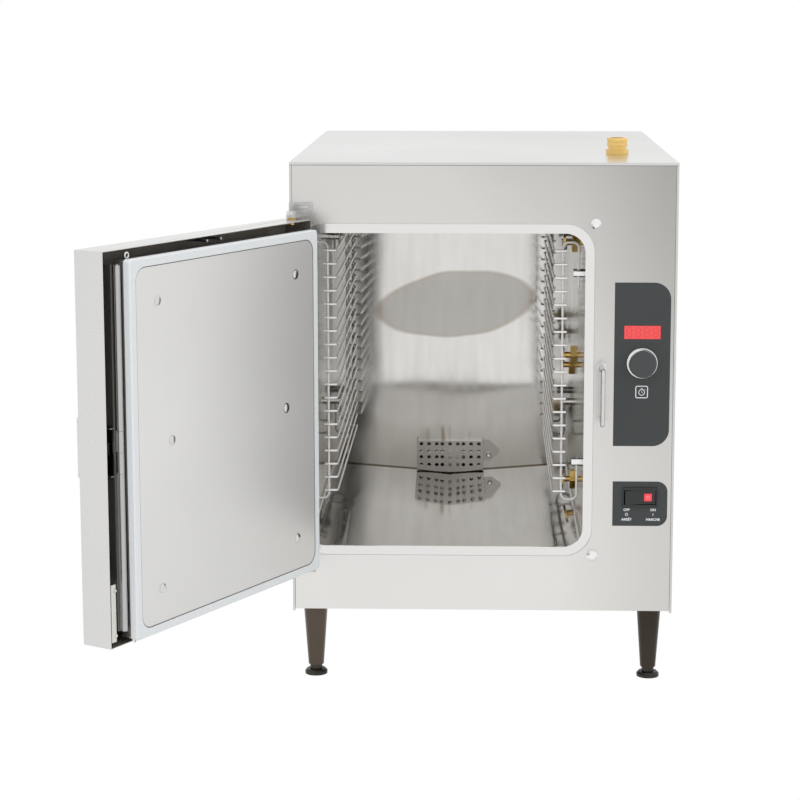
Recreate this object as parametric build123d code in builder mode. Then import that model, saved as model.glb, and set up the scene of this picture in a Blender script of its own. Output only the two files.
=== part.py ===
from math import atan2, degrees
import os

from build123d import *

os.makedirs("parts", exist_ok=True)

# Counter-top convection steamer with its door standing open.
# The origin is the middle of the front left foot's sole; X runs right, Y back and Z up.

# ---- Driving dimensions, in millimetres and degrees ----
COLUMN_W = 130.1
HEAD_H = 100.1
REAR_SPACE = 169.0
LEG_H = 106.0
LEG_INSET_X = 30.0
LEG_INSET_Y = 40.0
SHEET = 1.2
SEAM = 0.3
RUN_GAP = 0.3
PIN_PLAY = 0.05
WRAP = 3.5

OPENING_W = 398.6
OPENING_H = 454.4
OPENING_INSET = 20.3
OPENING_RISE = 97.5
OPENING_R = 28.0
FLANGE_W = 13.0
CAVITY_D = 571.0
CAVITY_SHEET = 1.5
CEILING_RISE = 18.0
FLOOR_DROP = 15.5
FLOOR_R = 6.0
LAGGING = 14.0

WIRE_R = 1.75
RUNG_PITCH = 19.6
RUNG_FIRST = 72.0
RUNG_REACH = 42.8
RUNG_TAIL = 24.0
FRAME_REACH = 29.8
HOOK_REACH = 7.2
RACK_FRONT = 48.0
RACK_MIDDLE = 329.0
RACK_REAR_GAP = 45.0
WELD = 0.4
LOOP_TOP_DROP = 17.4
LOOP_BOTTOM = 59.5
LOOP_R = 9.0
HOOK_TOP_DROP = 65.5
HOOK_BOTTOM_RISE = 62.0
STUD_R = 6.0
STUD_L = 15.0
STUD_HOLE_R = 2.4
STUD_UP_DROP = 61.9
STUD_LOW = 115.5

DOOR_T = 45.3
DOOR_INSET = 0.2
DOOR_LAP_R = 33.1
DOOR_LAP_B = 19.9
DOOR_LAP_T = 24.7
DOOR_BEND_R = 2.5
RIM_GAP = 20.5
PIVOT_INSET = 7.2
PIVOT_OUT = 48.9
DOOR_OPEN = 119.5
PIN_R = 4.0
BUSH_R = 5.2
BUSH_FLANGE_R = 6.5
BUSH_FLANGE_T = 1.8
BUSH_L = 10.0
BRACKET_T = 4.0
BRACKET_W = 30.0
BRACKET_LEG = 17.0
BRACKET_END_R = 7.5
BRACKET_SLOT_RISE = 10.2

SEAL_LAP = 6.05
SEAL_LAP_Z = 13.0
SEAL_T = 10.0
SEAL_BAND = 11.0
SEAL_CORNER_R = 5.0
SEAL_EDGE = 1.5
LINER_PLATE_T = 1.5
LINER_PLATE_R = 18.0
LINER_BACK_D = 16.0
KNUCKLE_R = 4.2
KNUCKLE_GAP = 0.4
KNUCKLE_WEB = 2.0
LINER_PIN_R = 1.6
KNUCKLE_END = 20.0
KNUCKLE_TOP_END = 18.0
KNUCKLE_L = 27.0
KNUCKLE_SHIFT = 1.5

STRIKE_ASIDE = 24.6
STRIKE_LOW = 283.5
STRIKE_SPAN = 78.9
STRIKE_ROD_R = 3.0
STRIKE_REACH = 41.0
STRIKE_BOSS_R = 7.2

OVERLAY_INSET = 8.3
OVERLAY_W = 79.7
OVERLAY_RISE = 246.7
OVERLAY_H = 236.0
OVERLAY_R = 24.0
OVERLAY_T = 0.5
DISPLAY_W = 52.4
DISPLAY_H = 19.6
DISPLAY_DROP = 61.6
KNOB_R = 21.7
KNOB_L = 17.0
KNOB_DROP = 115.2
SHAFT_R = 3.0
SHAFT_CLEAR = 2.0
SWITCH_W = 78.6
SWITCH_H = 65.4
SWITCH_R = 15.0
SWITCH_RISE = 129.5
SWITCH_UP = 9.5
BEZEL_W = 50.2
BEZEL_H = 29.5
BEZEL_LAP = 1.0
ROCKER_W = 44.4
ROCKER_H = 20.5
ROCKER_TILT = 7.0

LEG_TOP_R = 17.7
LEG_END_R = 11.3
FOOT_R = 16.5
FOOT_T = 7.0
FOOT_NECK_R = 9.0
FOOT_STEM_R = 5.0
FOOT_STEM_L = 60.0
LEG_CLEAR = 14.7

# Front panel
LIP_TOP = 4.0
RETURN = 12.0
PANEL_RISE = 3.0

# Top panel
VENT_INSET = 76.5
VENT_DEPTH = 179.0
VENT_BORE_R = 11.0

# Rear panel
DRAIN_RISE = 9.0
DRAIN_ASIDE = 6.5
DRAIN_R = 17.5
DRAIN_RUN_R = 20.0
DRAIN_PIPE_R = 19.0
DRAIN_FLANGE_R = 25.0
INLET_INSET = 90.0
INLET_R = 13.2
INLET_NECK_R = 12.0
CABLE_INSET = 40.0
CABLE_R = 14.3
CONNECTION_RISE = 60.0
LOUVRE_W = 90.0
LOUVRE_H = 12.0
LOUVRE_OUT = 6.0
LOUVRE_PITCH = 26.0
LOUVRE_COUNT = 7
LOUVRE_GAP = 40.0
LOUVRE_LIP = 4.0
LOUVRE_RISE = 430.0

# Base pan
BASE_EDGE = 28.0
LEG_BOLT_R = 5.0
JET_SHANK_R = 6.0
JET_DEPTH = 328.0
JET_TOP_DROP = 48.9
JET_FOOT_RISE = 27.5
JET_MIDDLES = ((345.0, 224.5), (400.0, 199.5))

# Cavity shell and jets
BACKER_LAP = 16.0

# Pan racks
WIRE_SIDES = 8

# Steam jets
JET_HEX_R = 16.5
JET_HEX_T = 6.0
JET_TUBE_R = 4.65
JET_DISC_R = 15.0
JET_DISC_T = 3.5
JET_DISC_TAPER = 12.0
JET_OUT = 19.2
PLENUM_GAP = 6.0

# Steam generator
GEN_W = 150.0
GEN_D = 118.0
GEN_H = 330.0
GEN_SHELL = 2.0
GEN_R = 28.0
GEN_TO_DRAIN = 9.1
GEN_INSET_Y = 18.0
STEAM_PIPE_R = 11.0
OUTLET_ASIDE = 48.0
ELEMENT_ASIDE = -26.0
ELEMENT_FLANGE_R = 38.0
ELEMENT_HOLE_R = 30.0
PROBE_ASIDE = 12.0
PROBE_AHEAD = 38.0
PROBE_R = 4.0
PROBE_HEX_R = 10.0
PROBE_HEX_T = 9.0
PROBE_UP = 20.0
PROBE_L = 270.0

# Heating elements
ELEMENT_R = 4.0
ELEMENT_L = 230.0
ELEMENT_FLANGE_T = 6.0
ELEMENT_HALF = 12.0
ELEMENT_PITCH = 17.0

# Steam plenum
PLENUM_D = 110.0
PLENUM_CORNER_R = 8.0
PLENUM_T = 24.0
PLENUM_DROP = 19.4
PLENUM_DEPTH = 364.0
FEED_RISE = 60.0

# Drain pipe
DRAIN_OUT = 24.0
DRAIN_COLLAR_T = 6.0

# Drain screen
SCREEN_W = 113.0
SCREEN_DROP = 8.0
SCREEN_RISE = 40.5
SCREEN_D = 15.0
SCREEN_CORNER_R = 3.0
SCREEN_SHEET = 1.2
SCREEN_SAG = 5.0
TAB_W = 27.0
TAB_FOOT_W = 13.0
TAB_TOP_W = 9.0
TAB_FOOT = 4.0
TAB_ELBOW = 18.0
TAB_SHOULDER = 23.0
TAB_STUD_RISE = 14.0
TAB_STUD_R = 2.5
TAB_NUT_R = 3.9
TAB_NUT_T = 6.0
TAB_NUT_EDGE = 1.2
HOLE_R = 3.3
HOLE_PITCH = 13.1
HOLE_GAP = 9.5

# Strike
STRIKE_BOSS_L = 8.0

# Dome studs
DOME_ASIDE = 14.1
DOME_R = 7.7
DOME_H = 8.0
DOME_EDGE = 3.0
DOME_BELOW = 11.8
DOME_ABOVE = 14.0

# Hinge pins
PIN_HEAD_R = 7.0
PIN_HEAD_T = 5.0

# Display
BOARD_BEHIND = 8.0
BOARD_T = 1.6

# Encoder
ENCODER_W = 13.0
SHAFT_OUT = 12.0

# Knob
KNOB_SKIRT_T = 3.0
KNOB_GRIP_R = 19.6
KNOB_TAPER = 2.0
KNOB_EDGE = 1.5
KNOB_FACE_R = 19.1

# Control board
BOARD_W = 88.0
BOARD_H = 208.0
POST_R = 3.0
POST_INSET = 5.0
RELAY_W = 18.0
RELAY_H = 30.0
RELAY_T = 16.0
RELAY_PITCH = 24.0
CHIP_W = 24.0

# Switch bezel
BEZEL_OUT = 2.5
BEZEL_BODY_D = 20.0
BEZEL_WALL = 0.6
BEZEL_CORNER_R = 2.0
ROCKER_PIN_IN = 2.0
ROCKER_PIN_R = 1.2

# Rocker and its lamp
ROCKER_RISE = 5.2
ROCKER_KEEL = 5.0
ROCKER_KEEL_W = 16.0
ROCKER_DISH = 2.0
LAMP_W = 11.0
LAMP_T = 0.6

# Transformer
TRANSFORMER_DEPTH = 90.0
CORE_W = 66.0
CORE_D = 34.0
CORE_H = 56.0
COIL_W = 42.0
COIL_D = 56.0
COIL_H = 32.0

# Contactor
CONTACTOR_DEPTH = 170.0
CONTACTOR_W = 45.0
CONTACTOR_D = 60.0
CONTACTOR_H = 50.0
CONTACTOR_STEP_D = 34.0
CONTACTOR_STEP_H = 28.0
TERMINAL_R = 4.0
TERMINAL_T = 2.0
TERMINAL_PITCH = 13.0
TERMINAL_SPREAD = 46.0

# Terminal block
BLOCK_AHEAD = 90.0
BLOCK_W = 34.0
BLOCK_L = 72.0
BLOCK_H = 12.0
WAY_W = 22.0
WAY_L = 11.0
WAY_H = 14.0
WAY_PITCH = 14.0

# Cable gland
GLAND_BORE_R = 7.0
GLAND_HEX_R = 19.0
GLAND_HEX_T = 7.0

# Inlet valve
INLET_OUT = 18.0
INLET_COLLAR_R = 17.0
INLET_COLLAR_T = 5.0
INLET_WALL = 3.0
VALVE_W = 24.0
VALVE_L = 40.0
VALVE_COIL_R = 13.0
VALVE_COIL_H = 46.0

# Vent fitting
VENT_COLLAR_R = 16.8
VENT_COLLAR_T = 7.0
VENT_BARREL_R = 15.3
VENT_BARREL_UP = 12.0
VENT_WAIST_R = 13.6
VENT_WALL = 2.0
VENT_DROP = 12.0
VENT_H = 24.0
VENT_GROOVE = 0.8
VENT_GROOVE_UP = 17.0
VENT_GROOVE_H = 1.5

# Legs
LEG_NUT_R = 9.0
LEG_NUT_T = 6.0
LEG_BOLT_L = 14.0

# Feet
FOOT_ROUND = 3.0

# Stiffener
STIFF_W = 110.0
STIFF_D = 16.0
STIFF_LIP = 14.0
STIFF_END = 22.0

# Latch case
CASE_RISE = 294.0
CASE_H = 62.0
CASE_SHEET = 1.5
CASE_BEHIND = 17.5
CASE_SUNK = 3.5
CASE_SLOT = 8.0
PAWL_ASIDE = 11.5
PAWL_IN = 10.8
PAWL_PIN_R = 3.0

# Pawl
PAWL_RISE = 319.0
PAWL_H = 17.0
HOOK_PLAY = 0.5
HOOK_T = 5.0
PAWL_R = 6.5
PAWL_HEEL = 4.0
ARM_LEAN = 2.0
ARM_PLAY = 1.5

# Handle base
HUB_ASIDE = 19.0
HUB_OUT = 14.0
HUB_R = 8.0
HUB_PIN_R = 4.0
EAR_T = 4.0
EAR_RISE = 286.0
EAR_SPAN = 76.0
HANDLE_PLATE_T = 3.0
HANDLE_PLATE_W = 40.0
HANDLE_PLATE_LAP = 8.0
HANDLE_PLATE_R = 5.0

# Handle
GRIP_INSET = 87.0
GRIP_OUT = 45.0
GRIP_EDGE = 2.5
GRIP_R = 8.0
GRIP_L = 160.0
ARM_T = 20.0
ARM_W = 11.0

# Liner hinge post
POST_ASIDE = 5.25
LEAF_SUNK = 1.0
LEAF_LAP = 2.5

# Float posts
FLOAT_R = 2.0
FLOAT_ASIDES = (-35.0, -65.0)
FLOAT_LOW = 4.2
FLOAT_UP = 6.6

# Switch plate
PLATE_RISE = 84.6
PLATE_H = 73.8
PLATE_INSET = 4.9
PLATE_LEAF = 9.0
PLATE_SUNK = 2.0
PLATE_SCREW_R = 2.0
PLATE_SCREW_T = 1.6
PLATE_SCREW_INSET = 8.0

# Door magnet
BOX_RISE = 100.0
BOX_H = 46.0
BOX_SUNK = 6.0

# Liner plate
PLATE_BACKSET = 0.8

# Liner back
BACK_INSET = 1.0

# Liner rivets
RIVET_SPREAD = 151.0
RIVET_RISE = 184.0
RIVET_MID = 126.5
RIVET_R = 4.6
RIVET_HEAD = 1.6
RIVET_TAPER = 35.0
RIVET_LIFT = 3.0

# Corner clips
CLIP_R = 4.5
CLIP_HOLE_R = 2.4
CLIP_T = 2.0
CLIP_OUT = 5.0

# ---- Places worked out from them ----
BODY_W = OPENING_INSET + OPENING_W + COLUMN_W
BODY_D = CAVITY_D + REAR_SPACE
BODY_H = OPENING_RISE + OPENING_H + HEAD_H
LEFT = -LEG_INSET_X
RIGHT = LEFT + BODY_W
FRONT = -LEG_INSET_Y
BACK = FRONT + BODY_D
BASE = LEG_H
TOP = BASE + BODY_H
MID_X = (LEFT + RIGHT) / 2

OPEN_L = LEFT + OPENING_INSET
OPEN_R = OPEN_L + OPENING_W
OPEN_B = BASE + OPENING_RISE
OPEN_T = OPEN_B + OPENING_H
CAV_X = (OPEN_L + OPEN_R) / 2
CAV_Z = (OPEN_B + OPEN_T) / 2
CEILING = OPEN_T + CEILING_RISE
CAV_FRONT = FRONT + CAVITY_SHEET
RACK_REAR = CAVITY_D - RACK_REAR_GAP
RUNGS = 1 + int((OPENING_H - LOOP_TOP_DROP - RUNG_FIRST) / RUNG_PITCH)
CAV_BACK = FRONT + CAVITY_D

DOOR_L = LEFT + DOOR_INSET
DOOR_R = OPEN_R + DOOR_LAP_R
DOOR_W = DOOR_R - DOOR_L
DOOR_B = OPEN_B - DOOR_LAP_B
DOOR_TOP = OPEN_T + DOOR_LAP_T
DOOR_H = DOOR_TOP - DOOR_B
DOOR_Z = (DOOR_B + DOOR_TOP) / 2
RIM = FRONT - RIM_GAP
SKIN = RIM - DOOR_T
SKIN_IN = SKIN + SHEET
PIVOT_X = LEFT + PIVOT_INSET
PIVOT_Y = FRONT - PIVOT_OUT
SEAL_W = OPENING_W + 2 * SEAL_LAP
SEAL_H = OPENING_H + 2 * SEAL_LAP_Z
SEAL_FACE = FRONT - RUN_GAP
SEAL_BACK = SEAL_FACE - SEAL_T
KNUCKLE_X = CAV_X + SEAL_W / 2 + KNUCKLE_R + KNUCKLE_GAP
KNUCKLE_Y = RIM + KNUCKLE_R
STRIKE_X = OPEN_R + STRIKE_ASIDE
STRIKE_Z = BASE + STRIKE_LOW
STRIKE_Y = FRONT - STRIKE_REACH
LEG_XS = (0.0, BODY_W - 2 * LEG_INSET_X)
LEG_YS = (0.0, BODY_D - 2 * LEG_INSET_Y)

OVERLAY_X = RIGHT - OVERLAY_INSET - OVERLAY_W / 2
OVERLAY_TOP = BASE + OVERLAY_RISE + OVERLAY_H
SWITCH_PANEL_Z = BASE + SWITCH_RISE + SWITCH_H / 2
SWITCH_Z = SWITCH_PANEL_Z + SWITCH_UP
KNOB_Z = OVERLAY_TOP - KNOB_DROP
DISPLAY_Z = OVERLAY_TOP - DISPLAY_DROP - DISPLAY_H / 2


def facing_front(y):
    """A sketch plane at depth y; it reads as seen from the front and grows forwards."""
    return Plane.XZ.offset(-y)


def facing_right(x):
    """A sketch plane at x that grows to the right; its own axes are Y and Z."""
    return Plane.YZ.offset(x)


def level(z):
    """A level sketch plane at height z."""
    return Plane.XY.offset(z)


def swing_open(part):
    """Turn a piece drawn with the door closed about the hinge pins to where it stands open."""
    pins = Location((PIVOT_X, PIVOT_Y, 0))
    return part.moved(pins * Location((0, 0, 0), (0, 0, -DOOR_OPEN)) * pins.inverse())


def folded(points, sheet=SHEET):
    """The corners of a folded sheet's section: its outer line, and the same line moved left by the sheet."""
    runs = [(Vector(b) - Vector(a)).normalized() for a, b in zip(points, points[1:])]
    sides = [Vector(-run.Y, run.X) for run in runs]
    firsts = [sides[0]] + sides
    lasts = sides + [sides[-1]]
    inner = [
        Vector(p) + (a + b) * (sheet / (1 + a.dot(b)))
        for p, a, b in zip(points, firsts, lasts)
    ]
    return [tuple(p) for p in points] + [(v.X, v.Y) for v in reversed(inner)]


# ---- Cabinet shells ----
# Front panel: one sheet with returns at top and foot, pierced for the flange and the controls.
PANEL_B = BASE + PANEL_RISE
PANEL_T = TOP - LIP_TOP - SEAM
with BuildPart() as front_panel:
    with BuildSketch(facing_right(LEFT + WRAP + SEAM)):
        Polygon(*folded([
            (FRONT + RETURN, PANEL_T), (FRONT, PANEL_T), (FRONT, PANEL_B), (FRONT + RETURN, PANEL_B),
        ]), align=None)
    extrude(amount=BODY_W - 2 * WRAP - 2 * SEAM)
    with BuildSketch(facing_front(FRONT)):
        with Locations((CAV_X, CAV_Z)):
            RectangleRounded(
                OPENING_W + 2 * FLANGE_W + 2 * SEAM, OPENING_H + 2 * FLANGE_W + 2 * SEAM,
                OPENING_R + FLANGE_W,
            )
        with Locations((OVERLAY_X, DISPLAY_Z)):
            Rectangle(DISPLAY_W, DISPLAY_H)
        with Locations((OVERLAY_X, KNOB_Z)):
            Circle(SHAFT_R + SHAFT_CLEAR)
        with Locations((OVERLAY_X, SWITCH_Z)):
            Rectangle(BEZEL_W - 2 * BEZEL_LAP, BEZEL_H - 2 * BEZEL_LAP)
    extrude(amount=-SHEET, mode=Mode.SUBTRACT)
front_panel.part.label = "front_panel"
export_step(front_panel.part, "parts/front_panel.step")

# Side panels: each wraps round the front edge and turns in at the back.
SIDE_T = TOP - LIP_TOP - SEAM
with BuildPart() as left_side_panel:
    with BuildSketch(level(BASE)):
        Polygon(*folded([
            (LEFT + WRAP, FRONT), (LEFT, FRONT), (LEFT, BACK), (LEFT + RETURN, BACK),
        ][::-1]), align=None)
    extrude(amount=SIDE_T - BASE)
left_side_panel.part.label = "left_side_panel"
export_step(left_side_panel.part, "parts/left_side_panel.step")

with BuildPart() as right_side_panel:
    with BuildSketch(level(BASE)):
        Polygon(*folded([
            (RIGHT - WRAP, FRONT), (RIGHT, FRONT), (RIGHT, BACK), (RIGHT - RETURN, BACK),
        ]), align=None)
    extrude(amount=SIDE_T - BASE)
right_side_panel.part.label = "right_side_panel"
export_step(right_side_panel.part, "parts/right_side_panel.step")

# Top panel: a lid with a short lip on all four sides.
VENT_X = RIGHT - VENT_INSET
VENT_Y = FRONT + VENT_DEPTH
with BuildPart() as top_panel:
    with BuildSketch(level(TOP)):
        with Locations((MID_X, (FRONT + BACK) / 2)):
            Rectangle(BODY_W, BODY_D)
    extrude(amount=-LIP_TOP)
    offset(amount=-SHEET, openings=faces().sort_by(Axis.Z)[0])
    with Locations((VENT_X, VENT_Y, TOP)):
        Hole(VENT_BORE_R + VENT_WALL + SEAM, depth=LIP_TOP)
top_panel.part.label = "top_panel"
export_step(top_panel.part, "parts/top_panel.step")

# Rear panel: louvres over the machine space, and holes for drain, water and cable.
DRAIN_Z = OPEN_B + DRAIN_RISE
DRAIN_X = CAV_X + DRAIN_ASIDE
INLET_X = RIGHT - INLET_INSET
INLET_Z = BASE + CONNECTION_RISE
CABLE_X = RIGHT - CABLE_INSET
CABLE_Z = BASE + CONNECTION_RISE
LOUVRE_Z = BASE + LOUVRE_RISE
with BuildPart() as rear_panel:
    with BuildSketch(facing_front(BACK)):
        with Locations((MID_X, (BASE + SIDE_T) / 2)):
            Rectangle(BODY_W - 2 * RETURN - 2 * SEAM, SIDE_T - BASE)
        with Locations((DRAIN_X, DRAIN_Z)):
            Circle(DRAIN_RUN_R + SEAM, mode=Mode.SUBTRACT)
        with Locations((INLET_X, INLET_Z)):
            Circle(INLET_NECK_R + SEAM, mode=Mode.SUBTRACT)
        with Locations((CABLE_X, CABLE_Z)):
            Circle(CABLE_R, mode=Mode.SUBTRACT)
        with Locations((MID_X, LOUVRE_Z)):
            with GridLocations(LOUVRE_W + LOUVRE_GAP, LOUVRE_PITCH, 2, LOUVRE_COUNT):
                Rectangle(LOUVRE_W - 2 * SHEET, LOUVRE_H - 2 * SHEET, mode=Mode.SUBTRACT)
    extrude(amount=SHEET)
    for row in range(LOUVRE_COUNT):
        foot = LOUVRE_Z + (row - (LOUVRE_COUNT - 1) / 2) * LOUVRE_PITCH - LOUVRE_H / 2
        hood = [
            (BACK + LOUVRE_OUT, foot), (BACK + LOUVRE_OUT, foot + LOUVRE_LIP),
            (BACK, foot + LOUVRE_H), (BACK - SHEET, foot + LOUVRE_H),
        ]
        for side in (-1, 1):
            with BuildSketch(facing_right(MID_X + side * (LOUVRE_W + LOUVRE_GAP) / 2)):
                Polygon(*folded(hood), align=None)
            extrude(amount=LOUVRE_W / 2, both=True)
rear_panel.part.label = "rear_panel"
export_step(rear_panel.part, "parts/rear_panel.step")

# Base pan: a tray inside the side panels, with a hole over each leg.
with BuildPart() as base_pan:
    with BuildSketch(level(BASE)):
        with Locations((MID_X, (FRONT + BACK) / 2)):
            Rectangle(BODY_W - 2 * SHEET - 2 * SEAM, BODY_D - 2 * RETURN - 2 * SEAM)
    extrude(amount=BASE_EDGE)
    offset(amount=-SHEET, openings=faces().sort_by(Axis.Z)[-1])
    with Locations(*[(x, y, BASE + SHEET) for x in LEG_XS for y in LEG_YS]):
        Hole(LEG_BOLT_R + SEAM, depth=2 * SHEET)
base_pan.part.label = "base_pan"
export_step(base_pan.part, "parts/base_pan.step")

# ---- Steam cavity ----
JETS = [(FRONT + JET_DEPTH, OPEN_T - JET_TOP_DROP), (FRONT + JET_DEPTH, OPEN_B + JET_FOOT_RISE)] + [
    (FRONT + depth, OPEN_B + rise) for depth, rise in JET_MIDDLES
]
# Shell: the walls run in line with the opening, the floor is a shallow V and the ceiling is higher than the mouth.
with BuildPart() as cavity_shell:
    with BuildSketch(facing_front(CAV_FRONT)) as cavity_section:
        with BuildLine():
            Polyline(
                (OPEN_L, OPEN_B), (CAV_X, OPEN_B - FLOOR_DROP), (OPEN_R, OPEN_B),
                (OPEN_R, CEILING), (OPEN_L, CEILING), close=True,
            )
        make_face()
        fillet(vertices().group_by(Axis.Y)[-1], OPENING_R)
        fillet(vertices().filter_by(lambda v: abs(v.Y - OPEN_B) < 0.01), FLOOR_R)
    with BuildSketch(facing_front(CAV_FRONT)):
        add(cavity_section.sketch_local)
        offset(amount=CAVITY_SHEET)
    extrude(amount=-CAVITY_D)
    with BuildSketch(facing_front(CAV_FRONT)):
        with Locations((CAV_X, (CAV_Z * 2 + CEILING_RISE - FLOOR_DROP) / 2)):
            Rectangle(OPENING_W + 2 * BACKER_LAP, OPENING_H + CEILING_RISE + FLOOR_DROP + 2 * BACKER_LAP)
    extrude(amount=-CAVITY_SHEET)
    with BuildSketch(facing_front(FRONT)):
        with Locations((CAV_X, CAV_Z)):
            RectangleRounded(OPENING_W + 2 * FLANGE_W, OPENING_H + 2 * FLANGE_W, OPENING_R + FLANGE_W)
    extrude(amount=-CAVITY_SHEET)
    with BuildSketch(facing_front(CAV_FRONT + CAVITY_SHEET)):
        add(cavity_section.sketch_local)
    extrude(amount=-(CAVITY_D - 2 * CAVITY_SHEET), mode=Mode.SUBTRACT)
    with BuildSketch(facing_front(FRONT)):
        with Locations((CAV_X, CAV_Z)):
            RectangleRounded(OPENING_W, OPENING_H, OPENING_R)
    extrude(amount=-3 * CAVITY_SHEET, mode=Mode.SUBTRACT)
    with BuildSketch(facing_front(CAV_BACK - 2 * CAVITY_SHEET)):
        with Locations((DRAIN_X, DRAIN_Z)):
            Circle(DRAIN_R)
    extrude(amount=-4 * CAVITY_SHEET, mode=Mode.SUBTRACT)
    with BuildSketch(facing_right(OPEN_R - CAVITY_SHEET)):
        with Locations(*JETS):
            Circle(JET_SHANK_R)
    extrude(amount=3 * CAVITY_SHEET, mode=Mode.SUBTRACT)
cavity_shell.part.label = "cavity_shell"
export_step(cavity_shell.part, "parts/cavity_shell.step")

# Lagging: one blanket moulded round the cavity's walls and back.
with BuildPart() as insulation:
    with BuildSketch(facing_front(CAV_FRONT + 2 * CAVITY_SHEET)):
        with Locations((CAV_X, (OPEN_B - FLOOR_DROP + CEILING) / 2)):
            Rectangle(
                OPENING_W + 2 * CAVITY_SHEET + 2 * LAGGING,
                CEILING - OPEN_B + FLOOR_DROP + 2 * CAVITY_SHEET + 2 * LAGGING,
            )
    extrude(amount=-(CAVITY_D + LAGGING))
    with BuildSketch(facing_front(CAV_FRONT)):
        add(cavity_section.sketch_local)
        offset(amount=CAVITY_SHEET + SEAM)
    extrude(amount=-(CAVITY_D + SEAM), mode=Mode.SUBTRACT)
    with BuildSketch(facing_front(CAV_BACK)):
        with Locations((DRAIN_X, DRAIN_Z)):
            Circle(DRAIN_FLANGE_R + SEAM)
    extrude(amount=-4 * LAGGING, mode=Mode.SUBTRACT)
    with BuildSketch(facing_right(OPEN_R)):
        with Locations(*JETS):
            Circle(JET_SHANK_R + SEAM)
    extrude(amount=4 * LAGGING, mode=Mode.SUBTRACT)
insulation.part.label = "insulation"
export_step(insulation.part, "parts/insulation.step")

# Rack studs: turned posts on both walls; the racks' hooks drop through their cross holes.
with BuildPart() as rack_studs:
    for wall, inward in ((OPEN_L, 1), (OPEN_R, -1)):
        with BuildSketch(facing_right(wall)):
            with Locations(*[(FRONT + y, OPEN_B + z) for y in (RACK_FRONT, RACK_REAR) for z in (STUD_LOW, OPENING_H - STUD_UP_DROP)]):
                Circle(STUD_R)
        extrude(amount=inward * STUD_L)
    for reach in (OPEN_L + HOOK_REACH, OPEN_R - HOOK_REACH):
        with BuildSketch(level(OPEN_B)):
            with Locations((reach, FRONT + RACK_FRONT), (reach, FRONT + RACK_REAR)):
                RegularPolygon(STUD_HOLE_R, WIRE_SIDES, major_radius=False)
        extrude(amount=OPENING_H, mode=Mode.SUBTRACT)
rack_studs.part.label = "rack_studs"
export_step(rack_studs.part, "parts/rack_studs.step")


# Pan racks: bent wire, the skilled work of this piece.
# Each rung is one long hairpin welded across three upright frame wires, and the outer two hook over the studs.
WELD_STEP = 2 * WIRE_R - WELD


def rack_wires(wall, inward):
    """Corner points of one rack's hooks, rungs and middle wire; inward is +1 on the left wall."""
    frame_x = wall + inward * FRAME_REACH
    hook_x = wall + inward * HOOK_REACH
    rung_x = wall + inward * RUNG_REACH
    tail_x = wall + inward * RUNG_TAIL
    middle_x = rung_x - inward * WELD_STEP
    top = OPEN_T - LOOP_TOP_DROP
    foot = OPEN_B + LOOP_BOTTOM
    hooks = [
        [
            (hook_x, FRONT + y, top - HOOK_TOP_DROP), (hook_x, FRONT + y, top), (frame_x, FRONT + y, top),
            (frame_x, FRONT + y, foot), (hook_x, FRONT + y, foot), (hook_x, FRONT + y, foot + HOOK_BOTTOM_RISE),
        ]
        for y in (RACK_FRONT, RACK_REAR)
    ]
    front_y = FRONT + RACK_FRONT - WELD_STEP
    rear_y = FRONT + RACK_REAR + WELD_STEP
    rungs = [
        [(tail_x, front_y, z), (rung_x, front_y, z), (rung_x, rear_y, z), (tail_x, rear_y, z)]
        for z in [OPEN_B + RUNG_FIRST + rung * RUNG_PITCH for rung in range(RUNGS)]
    ]
    middle = [(middle_x, FRONT + RACK_MIDDLE, foot + LOOP_R), (middle_x, FRONT + RACK_MIDDLE, top - LOOP_R)]
    return hooks, rungs, middle


left_hooks, left_rungs, left_middle = rack_wires(OPEN_L, 1)
with BuildPart() as left_rack:
    for points in left_rungs:
        with BuildLine() as wire:
            Polyline(*points)
        with BuildSketch(Plane(origin=points[0], z_dir=Vector(points[1]) - Vector(points[0]))):
            RegularPolygon(WIRE_R, WIRE_SIDES)
        sweep(path=wire.wires()[0], transition=Transition.RIGHT)
    for points in left_hooks:
        with BuildLine() as wire:
            FilletPolyline(*points, radius=LOOP_R)
        with BuildSketch(Plane(origin=points[0], z_dir=Vector(points[1]) - Vector(points[0]))):
            RegularPolygon(WIRE_R, WIRE_SIDES)
        sweep(path=wire.wires()[0])
    with BuildSketch(Plane(origin=left_middle[0])):
        RegularPolygon(WIRE_R, WIRE_SIDES)
    extrude(amount=left_middle[1][2] - left_middle[0][2])
left_rack.part.label = "left_rack"
export_step(left_rack.part, "parts/left_rack.step")

with BuildPart() as right_rack:
    add(left_rack.part)
    mirror(about=facing_right(CAV_X), mode=Mode.REPLACE)
right_rack.part.label = "right_rack"
export_step(right_rack.part, "parts/right_rack.step")

# Steam jets: brass fittings through the right wall, a hexagon at the wall and a spreader disc at the tip.
PLENUM_X = OPEN_R + CAVITY_SHEET + LAGGING + PLENUM_GAP
with BuildPart() as steam_jets:
    with BuildSketch(facing_right(OPEN_R)):
        with Locations(*JETS):
            RegularPolygon(JET_HEX_R, 6)
    extrude(amount=-JET_HEX_T)
    with BuildSketch(facing_right(OPEN_R - JET_HEX_T)):
        with Locations(*JETS):
            Circle(JET_TUBE_R)
    extrude(amount=-(JET_OUT - JET_HEX_T - JET_DISC_T))
    with BuildSketch(facing_right(OPEN_R - JET_OUT + JET_DISC_T)):
        with Locations(*JETS):
            Circle(JET_DISC_R)
    extrude(amount=-JET_DISC_T, taper=JET_DISC_TAPER)
    with BuildSketch(facing_right(OPEN_R)):
        with Locations(*JETS):
            Circle(JET_SHANK_R - PIN_PLAY)
    extrude(amount=PLENUM_X - OPEN_R)
steam_jets.part.label = "steam_jets"
export_step(steam_jets.part, "parts/steam_jets.step")

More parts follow.
